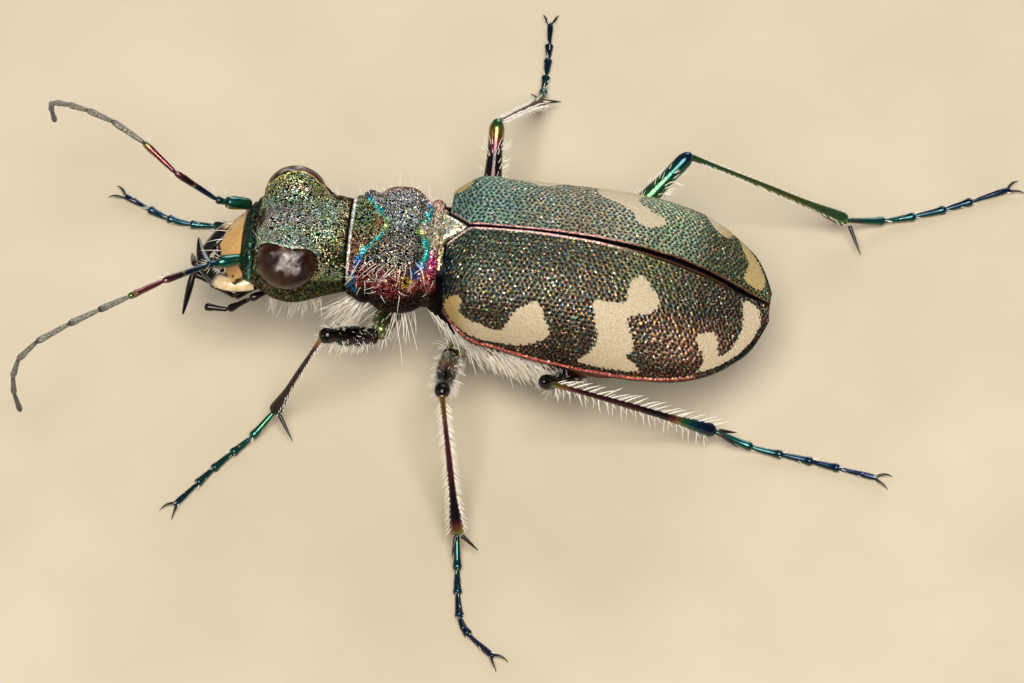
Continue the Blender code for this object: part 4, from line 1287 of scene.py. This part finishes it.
def makeLeg(name, materials):
    leg, shape = legPlaces[name], legShape
    hip, knee, ankle = (np.array(place) for place in leg[:3])
    thighHues, shinHues, (f0, f1) = legHues[name]
    thighLine = straight(hip, knee, leg[4])
    skins = []
    outer = unit(knee - hip)

    # the hip's cone, the small ring joint and the thigh
    cone, t = limbJoint(straight(hip - outer * 0.42, hip + outer * 0.46), ((0, 0.32), (0.4, 0.40), (0.8, 0.28), (1, 0.2)),
                        26, 22, 0.35)
    skins.append((cone, 0.28 + 0.1 * t, 0))
    if name in elbows:
        root = np.array(elbows[name])
        thighLine = straight(root, knee)
        arm, t = limbJoint(straight(hip, root), ((0, 0.34), (0.6, 0.28), (1, 0.19)), 20, 20, 0.1)
        skins.append((arm, 0.52 + 0 * t, 0))
    ring, t = limbJoint(lambda t: thighLine(0.07 + 0.10 * t), ((0, 0.18), (0.5, 0.21), (1, 0.17)), 14, 18, 0.3)
    skins.append((ring, 0.10 + 0 * t, 0))
    reach = np.linalg.norm(knee - hip)
    bone, t = limbJoint(lambda t: thighLine(0.10 + (0.90 + 0.10 / reach) * t), shape["thigh"], 50, 20, 0.07)
    skins.append((bone, np.interp(t, np.linspace(0, 1, len(thighHues)), thighHues), 0))
    shinWay = unit(ankle - knee)
    shin, t = limbJoint(straight(knee, ankle + shinWay * 0.05, 0.04), shape["shin"], 46, 16, 0.03)
    skins.append((shin, np.interp(t, np.linspace(0, 1, len(shinHues)), shinHues), 0))

    # five foot joints, each sunk a little in the one before it
    line = footLine(leg)
    stops = shape["footJoints"]
    for k, (first, last) in enumerate(zip(stops, stops[1:])):
        table = shape["footEnd"] if k == 4 else shape["footJoint"]
        part, t = limbJoint(lambda t: line(first - 0.012 + (last - first + 0.012) * t), table, 26, 14, 0.05)
        part[..., 2] = np.maximum(part[..., 2], 0.003)
        skins.append((part, f0 + (f1 - f0) * (first + (last - first) * t), 0))
    tip = line(np.array([1.0]))[0]
    way = unit(tip - line(np.array([0.9]))[0])
    across = unit(np.cross(way, (0, 0, 1)))
    for sign in (-1, 1):
        t = np.linspace(0, 1, 16)[:, None]
        hook = tip - way * 0.05 + way * shape["claw"] * t + across * sign * (0.03 + 0.17 * t ** 0.7)
        hook[:, 2:] = tip[2] + 0.05 * np.sin(math.pi * t) - (tip[2] - 0.02) * t ** 3
        rings, _, _ = sweep(hook, np.interp(t[:, 0], (0, 0.5, 1), (0.036, 0.026, 0.005)), 10)
        skins.append((rings, 0, 1))
    for way in np.array(spurs[name]):
        root = ankle + way * (0.30, 0.24, 0)
        spur, _ = limbJoint(straight(root, root + way), ((0, 0.055), (0.4, 0.044), (1, 0.008)), 16, 10, 0.02)
        skins.append((spur, 0, 1))
    points, faces, hues, picks = joinSkins(skins)
    return addPiece(f"{name}_limb", points, faces, materials, [f"leg_{name}"],
                    {"hue": hues}, picks)


# Underside

trunk = {
    # x, half width, height of the widest line, lowest height
    "thorax": (
        (-0.45, 1.10, 3.10, 2.30),
        (0.05, 1.38, 2.75, 1.75),
        (0.60, 1.72, 2.60, 1.25),
        (1.60, 1.98, 2.42, 1.05),
        (2.80, 2.12, 2.28, 1.00),
        (4.00, 2.15, 2.20, 1.05),
    ),
    "abdomen": (
        (4.20, 2.12, 2.20, 1.08),
        (5.20, 2.05, 2.16, 1.20),
        (6.20, 1.80, 2.10, 1.42),
        (7.00, 1.30, 2.10, 1.72),
        (7.40, 0.70, 2.12, 1.98),
    ),
    "power": 2.1,
    "underWings": 0.36,
    "mesh": 0.05,
    "thoraxSeams": (0.55, 1.45, 2.95),
    "abdomenSeams": (4.78, 5.32, 5.84, 6.34, 6.84, 7.24),
}


# Rings of one half of the underside: below, an oval, and above, the hollow of the wing cases
def undersideRings(part):
    rows = trunk[part]
    x = np.linspace(rows[0][0], rows[-1][0] + (0.19 if part == "thorax" else 0.0), 80)
    half, widest, low = alongRows(rows, np.clip(x, rows[0][0], rows[-1][0])).T
    roof = wingArch(np.maximum(x, 0.06), trunk["underWings"], 40)
    roof[..., 0] = x[:, None]
    rings = []
    for k in range(len(x)):
        turns = np.linspace(0, math.pi / 2, 60)
        y = half[k] * bendTo(np.cos(turns), trunk["power"])
        z = widest[k] - (widest[k] - low[k]) * bendTo(np.sin(turns), trunk["power"])
        right = np.concatenate([roof[k], np.column_stack([np.full(60, x[k]), y, z])])
        left = right[::-1] * (1, -1, 1)
        rings.append(np.concatenate([right, left]))
    rings = spreadEvenly(np.array(rings), 260, closed=True)
    below = smoothStep(0.0, 0.15, widest[:, None] - rings[..., 2])
    seams = np.zeros(len(x))
    for place in trunk[f"{part}Seams"]:
        seams = np.maximum(seams, np.exp(-((x - place) / 0.035) ** 2))
    rise = -0.05 * seams[:, None] * below
    rise = rise - 0.05 * np.exp(-(rings[..., 1] / 0.04) ** 2) * below * (part == "thorax")
    if part == "thorax":
        plate = np.exp(-((rings[..., 2] - (1.75 + 0.08 * (x[:, None] - 1.4))) / 0.035) ** 2)
        rise -= 0.05 * plate * below * smoothStep(1.4, 1.5, x)[:, None]
    rise += 0.012 * ripples(rings, 0.16, 3) * below
    return rings + outward(rings) * rise[..., None], below, seams


def makeUnderside(part, material):
    rings, below, seams = undersideRings(part)
    hue = 0.30 + 0.25 * smoothStep(2.0, 1.2, rings[..., 2]) + 0.1 * ripples(rings, 0.8, 2, 3.0)
    # above the widest line, inside the wing cases, and at the front under the fore part the hue is 0, near black:
    # painted shade in the hollow and the gap
    hue = hue * smoothStep(0.1, 0.6, rings[..., 0]) * below
    return addPiece(f"{part}_underside", rings, ringFaces(*rings.shape[:2]), [material],
                    [part], {"hue": hue})


# Hair and bristles: each one is a thin tapered solid of three sides, bent along its length.
# Its spot on the coat's own map lies where it grows on an unwrap of the skin.

hairStops = (0.0, 0.3, 0.6, 0.85)


def hairMesh(roots, ways, lengths, bends, radius):
    ways = unit(ways)
    aside = unit(np.cross(ways, np.where(np.abs(ways[:, 2:]) > 0.9, (1.0, 0, 0), (0, 0, 1.0))))
    above = np.cross(ways, aside)
    lengths = lengths[:, None]
    points = []
    for t, width in zip(hairStops, (1.0, 0.9, 0.68, 0.4)):
        centre = roots + ways * lengths * t + bends * lengths * t * t
        for turn in (0, 2 * math.pi / 3, 4 * math.pi / 3):
            points.append(centre + (aside * math.cos(turn) + above * math.sin(turn)) * radius * width)
    points.append(roots + ways * lengths + bends * lengths)
    return np.stack(points, axis=1)


def hairFaces(count):
    one = [(0, 2, 1)]
    for k in range(3):
        for j in range(3):
            n = (j + 1) % 3
            one.append((3 * k + j, 3 * k + n, 3 * k + 3 + n, 3 * k + 3 + j))
    one += [(9 + j, 9 + (j + 1) % 3, 12) for j in range(3)]
    return [[k + 13 * h for k in face] for h in range(count) for face in one]


def addCoat(name, sets, material):
    points = np.concatenate([s[0] for s in sets])
    bands = len(sets)
    spots = np.concatenate([(s[1] * 0.96 + 0.01 + (0, k)) / (1, bands) for k, s in enumerate(sets)])
    local = np.array([(k / 4 * 0.003, j / 3 * 0.003 / bands) for k in range(4) for j in range(3)] + [(0.003, 0.0)])
    uv = spots[:, None] + local[None]
    return addPiece(name, points, hairFaces(len(points)), material, uv=uv.reshape(-1, 2))


# rows of bristles along each shin: degrees round it, length, spacing, lean, radius
bristles = {
    "front_left": ((0, 0.14, 0.11, 42, 0.012), (335, 0.14, 0.12, 42, 0.011), (180, 0.20, 0.10, 42, 0.013),
                   (205, 0.20, 0.12, 42, 0.012), (270, 0.14, 0.14, 34, 0.010)),
    "front_right": ((90, 0.17, 0.12, 30, 0.011), (55, 0.15, 0.13, 30, 0.010), (270, 0.12, 0.15, 28, 0.009)),
    "middle_left": ((0, 0.27, 0.10, 50, 0.018), (26, 0.22, 0.13, 46, 0.014), (-28, 0.25, 0.12, 46, 0.016),
                    (180, 0.27, 0.10, 50, 0.018), (154, 0.22, 0.13, 46, 0.014), (208, 0.25, 0.12, 46, 0.016)),
    "middle_right": ((0, 0.25, 0.10, 50, 0.017), (30, 0.20, 0.12, 46, 0.013), (-28, 0.24, 0.11, 46, 0.015),
                     (180, 0.25, 0.10, 50, 0.017), (150, 0.20, 0.12, 46, 0.013), (208, 0.24, 0.11, 46, 0.015),
                     (90, 0.20, 0.14, 40, 0.012)),
    "hind_left": ((62, 0.56, 0.20, 40, 0.020), (30, 0.30, 0.24, 40, 0.014), (240, 0.46, 0.20, 64, 0.018),
                  (205, 0.26, 0.26, 46, 0.012), (285, 0.30, 0.26, 46, 0.012)),
    "hind_right": ((170, 0.20, 0.14, 44, 0.011), (10, 0.18, 0.15, 42, 0.010), (300, 0.16, 0.20, 40, 0.010)),
}


# Roots round a limb's line: their places, the way out of the skin, the way along and the unwrap
def limbRoots(line, table, shares, turns, up=(0, 0, 1)):
    order = np.argsort(shares)
    shares, turns = shares[order], turns[order]
    fine = np.linspace(0, 1, 80)
    path = line(fine)
    ways = unit(np.gradient(path, axis=0))
    across = unit(np.cross(np.array(up, float), ways))
    above = np.cross(ways, across)

    def at(values):
        return np.column_stack([np.interp(shares, fine, values[:, k]) for k in range(3)])

    out = at(across) * np.cos(turns)[:, None] + at(above) * np.sin(turns)[:, None]
    radius = alongRows(table, shares)[:, :1]
    spots = np.column_stack([shares, (turns / (2 * math.pi)) % 1.0])
    return at(path) + out * radius * 0.85, out, at(ways), spots


def limbHair(line, table, shares, turns, length, lean, rng, curve=0.15, radius=0.014, stray=1.0):
    roots, out, ways, spots = limbRoots(line, table, shares, turns)
    n = len(roots)
    tilt = np.radians(lean + rng.normal(0, 7 * stray, n))[:, None]
    ways = unit(ways * np.cos(tilt) + out * np.sin(tilt) + rng.normal(0, 0.06 * stray, (n, 3)))
    lengths = length * (1 + stray * rng.uniform(-0.25, 0.2, n))
    bends = -out * curve + rng.normal(0, 0.05 * stray, (n, 3))
    return hairMesh(roots, ways, lengths, bends, radius), spots


def makeLegHair(name, material):
    rng = np.random.RandomState(11 + list(legPlaces).index(name))
    leg = legPlaces[name]
    hip, knee, ankle = (np.array(place) for place in leg[:3])
    shinSize = np.linalg.norm(ankle - knee)
    sets = []
    for turn, length, spacing, lean, radius in bristles[name]:
        shares = np.arange(rng.uniform(0.06, 0.10), 0.98, spacing / shinSize)
        shares = np.clip(shares + rng.normal(0, 0.005, len(shares)), 0.05, 0.98)
        turns = math.radians(turn) + rng.normal(0, 0.08, len(shares))
        sets.append(limbHair(straight(knee, ankle, 0.04), legShape["shin"], shares, turns, length, lean, rng,
                             0.15, radius, 0.45))
    root = np.array(elbows.get(name, hip))
    thighLine = straight(root, knee) if name in elbows else straight(hip, knee, leg[4])
    n = 100
    turns = rng.uniform(math.pi * 0.95, math.pi * 2.05, n)
    sets.append(limbHair(lambda t: thighLine(0.14 + 0.86 * t), legShape["thigh"], rng.uniform(0.02, 0.85, n),
                         turns, 0.42, 62, rng, 0.30))
    n = 120
    sets.append(limbHair(lambda t: thighLine(0.14 + 0.86 * t), legShape["thigh"], rng.uniform(0.05, 0.85, n),
                         rng.uniform(0, 2 * math.pi, n), 0.26, 34, rng, 0.05, 0.013))
    if name in elbows:
        n = 70
        sets.append(limbHair(straight(hip, root), ((0, 0.30), (1, 0.20)), rng.uniform(0.3, 1.0, n),
                             rng.uniform(0, 2 * math.pi, n), 0.42, 50, rng, 0.3, 0.012))
    stops = np.array(legShape["footJoints"])
    shares = np.concatenate([stops[1:], stops[1:], (stops[1:] + stops[:-1]) / 2, stops[1:] - 0.02])
    shares = np.clip(np.repeat(shares, 2) + rng.normal(0, 0.008, len(shares) * 2), 0.03, 0.97)
    turns = rng.uniform(0, 2 * math.pi, len(shares))
    footTable = ((0.0, 0.06), (1.0, 0.06))
    sets.append(limbHair(footLine(leg), footTable, shares, turns, 0.16, 36, rng, 0.0, 0.010))
    for points, _ in sets:
        points[..., 2] = np.maximum(points[..., 2], 0.004)
    return addCoat(f"{name}_bristles", sets, material)


# Roots spread over part of a skin of rings, where chance is the wish for hair at each point
def skinRoots(rings, chance, count, rng):
    normals = outward(rings)
    weight = np.clip(chance, 0, None).ravel()
    picked = rng.choice(weight.size, count, p=weight / weight.sum())
    i, j = np.unravel_index(picked, rings.shape[:2])
    spots = np.column_stack([i / rings.shape[0], j / rings.shape[1]])
    jitter = rng.normal(0, 0.02, (count, 3))
    return rings[i, j] + jitter, normals[i, j], spots


def makeTrunkHair(material):
    rng = np.random.RandomState(5)
    sets = []
    rings, below, _ = undersideRings("thorax")
    x, y, z = rings[..., 0], rings[..., 1], rings[..., 2]
    flank = smoothStep(1.3, 1.7, z) * smoothStep(3.0, 2.6, z) * smoothStep(0.9, 1.3, np.abs(y))
    flank = flank * smoothStep(2.9, 2.2, x) * (0.4 + 0.6 * smoothStep(1.0, 1.6, x))
    roots, out, spots = skinRoots(rings, flank, 1200, rng)
    ways = unit(out * 0.45 + np.array((0.75, 0, -0.55)) + rng.normal(0, 0.16, out.shape))
    lengths = rng.uniform(0.32, 0.62, len(roots))
    bends = np.array((0.12, 0, -0.22)) + rng.normal(0, 0.12, out.shape)
    sets.append((hairMesh(roots, ways, lengths, bends, 0.016), spots))
    addCoat("flank_hair", sets, material)


def makeShieldHair(material):
    rng = np.random.RandomState(8)
    p = shield
    x = np.linspace(p["rows"][0][0] + 0.08, p["rows"][-1][0] - 0.1, 60)
    rings = ovalRings(p["rows"], x, 140, p["power"])
    z, side = rings[..., 2], np.abs(rings[..., 1])
    sets = []
    # a row of long hairs hangs over each side, with short ones below it
    row = [np.argmax(-np.abs(z - 4.38) - 6 * np.abs(rings[..., 0] - place) - 9 * (rings[..., 1] * sign < 0.9))
           for sign in sides.values() for place in np.linspace(-1.98, -0.45, 15)]
    i, j = np.unravel_index(row, z.shape)
    roots, out = rings[i, j], outward(rings)[i, j]
    ways = unit(out * 0.75 + np.array((-0.10, 0, -0.50)) + rng.normal(0, 0.08, out.shape))
    bends = -out * 0.35 + np.array((-0.16, 0, -0.36)) + rng.normal(0, 0.05, out.shape)
    lengths = np.where(roots[:, 1] < 0, 0.70, 0.30) * rng.uniform(0.75, 1.15, len(roots))
    spots = np.column_stack([i / z.shape[0], j / z.shape[1]])
    sets.append((hairMesh(roots, ways, lengths, bends, 0.011), spots))
    upper = np.exp(-((z - 4.0) / 0.18) ** 2) * smoothStep(0.8, 1.0, side)
    roots, out, spots = skinRoots(rings, upper, 56, rng)
    ways = unit(out * 0.6 + np.array((-0.2, 0, -0.42)) + rng.normal(0, 0.3, out.shape))
    bends = rng.normal(0, 0.25, out.shape)
    sets.append((hairMesh(roots, ways, rng.uniform(0.22, 0.42, len(roots)), bends, 0.010), spots))
    lower = smoothStep(2.35, 2.55, z) * smoothStep(3.15, 2.9, z) * smoothStep(0.5, 0.8, side)
    lower = lower * (smoothStep(-1.4, -1.8, rings[..., 0]) + 0.5 * np.exp(-((rings[..., 0] + 0.95) / 0.2) ** 2))
    roots, out, spots = skinRoots(rings, lower, 260, rng)
    ahead = smoothStep(-1.3, -1.6, roots[:, :1]) * np.array((-0.75, 0, -0.05))
    ways = unit(out * 0.75 + ahead + np.array((0, 0, -0.25)) + rng.normal(0, 0.20, out.shape))
    bends = np.array((-0.12, 0, -0.30)) + rng.normal(0, 0.16, out.shape)
    sets.append((hairMesh(roots, ways, rng.uniform(0.55, 1.0, len(roots)), bends, 0.014), spots))
    addCoat("prothorax_hair", sets, material)


# Fine beard under the cheeks
def makeCheekHair(material):
    rng = np.random.RandomState(9)
    h = skull
    rings = ovalRings(h["rows"], np.linspace(-4.2, -3.0, 40), 120, h["power"])
    z, side = rings[..., 2], np.abs(rings[..., 1])
    roots, out, spots = skinRoots(rings, smoothStep(2.9, 2.6, z) * smoothStep(0.5, 0.9, side), 150, rng)
    roots = roots + out * 0.16
    ways = unit(out * 0.5 + np.array((0.05, 0, -0.8)) + rng.normal(0, 0.25, out.shape))
    bends = np.array((-0.1, 0, -0.1)) + rng.normal(0, 0.15, out.shape)
    coat = [(hairMesh(roots, ways, rng.uniform(0.35, 0.65, len(roots)), bends, 0.012), spots)]
    return addCoat("cheek_hair", coat, material)


# Long single bristles: round the ends of the feelers' shiny joints, along the lip's front
# edge, and one over each eye
def makeSensingHair(material):
    rng = np.random.RandomState(13)
    sets = []
    for side in sides:
        places = feelerPlaces(side)
        for k, (start, end) in enumerate(zip(places[:4], places[1:5])):
            r = feeler["radii"][k]
            turns = rng.uniform(0, 2 * math.pi, 6)
            sets.append(limbHair(straight(start, end), ((0, r), (1, r)), rng.uniform(0.72, 0.97, 6), turns,
                                 0.26, 46, rng, 0.05, 0.010))
    share = np.array((-0.88, -0.66, -0.42, -0.16, 0.16, 0.42, 0.66, 0.88))
    ways = np.column_stack([-0.80 + 0 * share, 0.35 * share, -0.15 + 0.25 * rng.uniform(-1, 1, 8)])
    bends = np.array((0.0, 0.0, -0.15)) + rng.normal(0, 0.06, ways.shape)
    spots = np.column_stack([(share + 1) / 2, 0.5 + 0 * share])
    sets.append((hairMesh(lipPlace(0.94, share), ways, rng.uniform(0.35, 0.60, 8), bends, 0.012), spots))
    roots = np.array([(-4.32, sign * 0.80, 4.44) for sign in sides.values()])
    ways = np.array([(-0.45, sign * 0.10, 0.85) for sign in sides.values()])
    sets.append((hairMesh(roots, ways, np.array((0.75, 0.75)), ways * (-0.2, 0, 0), 0.011), np.full((2, 2), 0.5)))
    return addCoat("sensing_bristles", sets, material)


setCamera()
setLights()
floorSize = 0.6
floorMesh = bpy.data.meshes.new("pale_floor")
floorMesh.from_pydata([(x, y, 0.0) for x, y in ((-floorSize, -floorSize), (floorSize, -floorSize),
                                                (floorSize, floorSize), (-floorSize, floorSize))],
                      [], [(0, 1, 2, 3)])
floor = bpy.data.objects.new("pale_floor", floorMesh)
bpy.context.scene.collection.objects.link(floor)
floorMesh.materials.append(paleFloor())

print("materials")
discHues = ("#D09CA8", "#44B0A4", "#D8D4B8", "#8AA45C", "#D8AC64", "#5068A4", "#E8E4E0")
headHues = ("#E0C870", "#58BC84", "#F094A4", "#A8C85C", "#34ACB0", "#F0E8D0", "#D4785C")
wing = wingCuticle()
copper = wrinkledCuticle("wrinkledShieldCuticle", discHues, "#080908", 0.029, 0.028)
bronze = wrinkledCuticle("grainedHeadCuticle", headHues, "#0A0E0A", 0.029, 0.028, share=0.5, peak=4.9)
lens = eyeLens()
limbs = limbCuticle("polishedLimbCuticle", 0.2, 0.6)
belly = limbCuticle("dullBellyCuticle", 0.32, 0.0)
felt = feltedCuticle()
claw = darkHorn()
lipHorn = paleHorn("lipHorn", "#CDA468", "#3A2614")
jawHorn = jawChitin()
seta = whiteHair()

print("trunk")
for side in sides:
    makeWingCase(side, wing)
    makeEye(side, lens)
makeScutellum(copper)
makeNeckBand(copper)
makeFoldedWings(limbs)
makeShield(copper)
makeHead(bronze)
makeLip(lipHorn)
for side in sides:
    makeJaw(side, [jawHorn])
    makeFeeler(side, [limbs, felt])
    for kind in palpLines:
        makePalp(kind, side, limbs)
for part in ("thorax", "abdomen"):
    makeUnderside(part, belly)

print("legs and hair")
for name in legPlaces:
    makeLeg(name, [limbs, claw])
    makeLegHair(name, seta)
makeTrunkHair(seta)
makeShieldHair(seta)
makeCheekHair(seta)
makeSensingHair(seta)
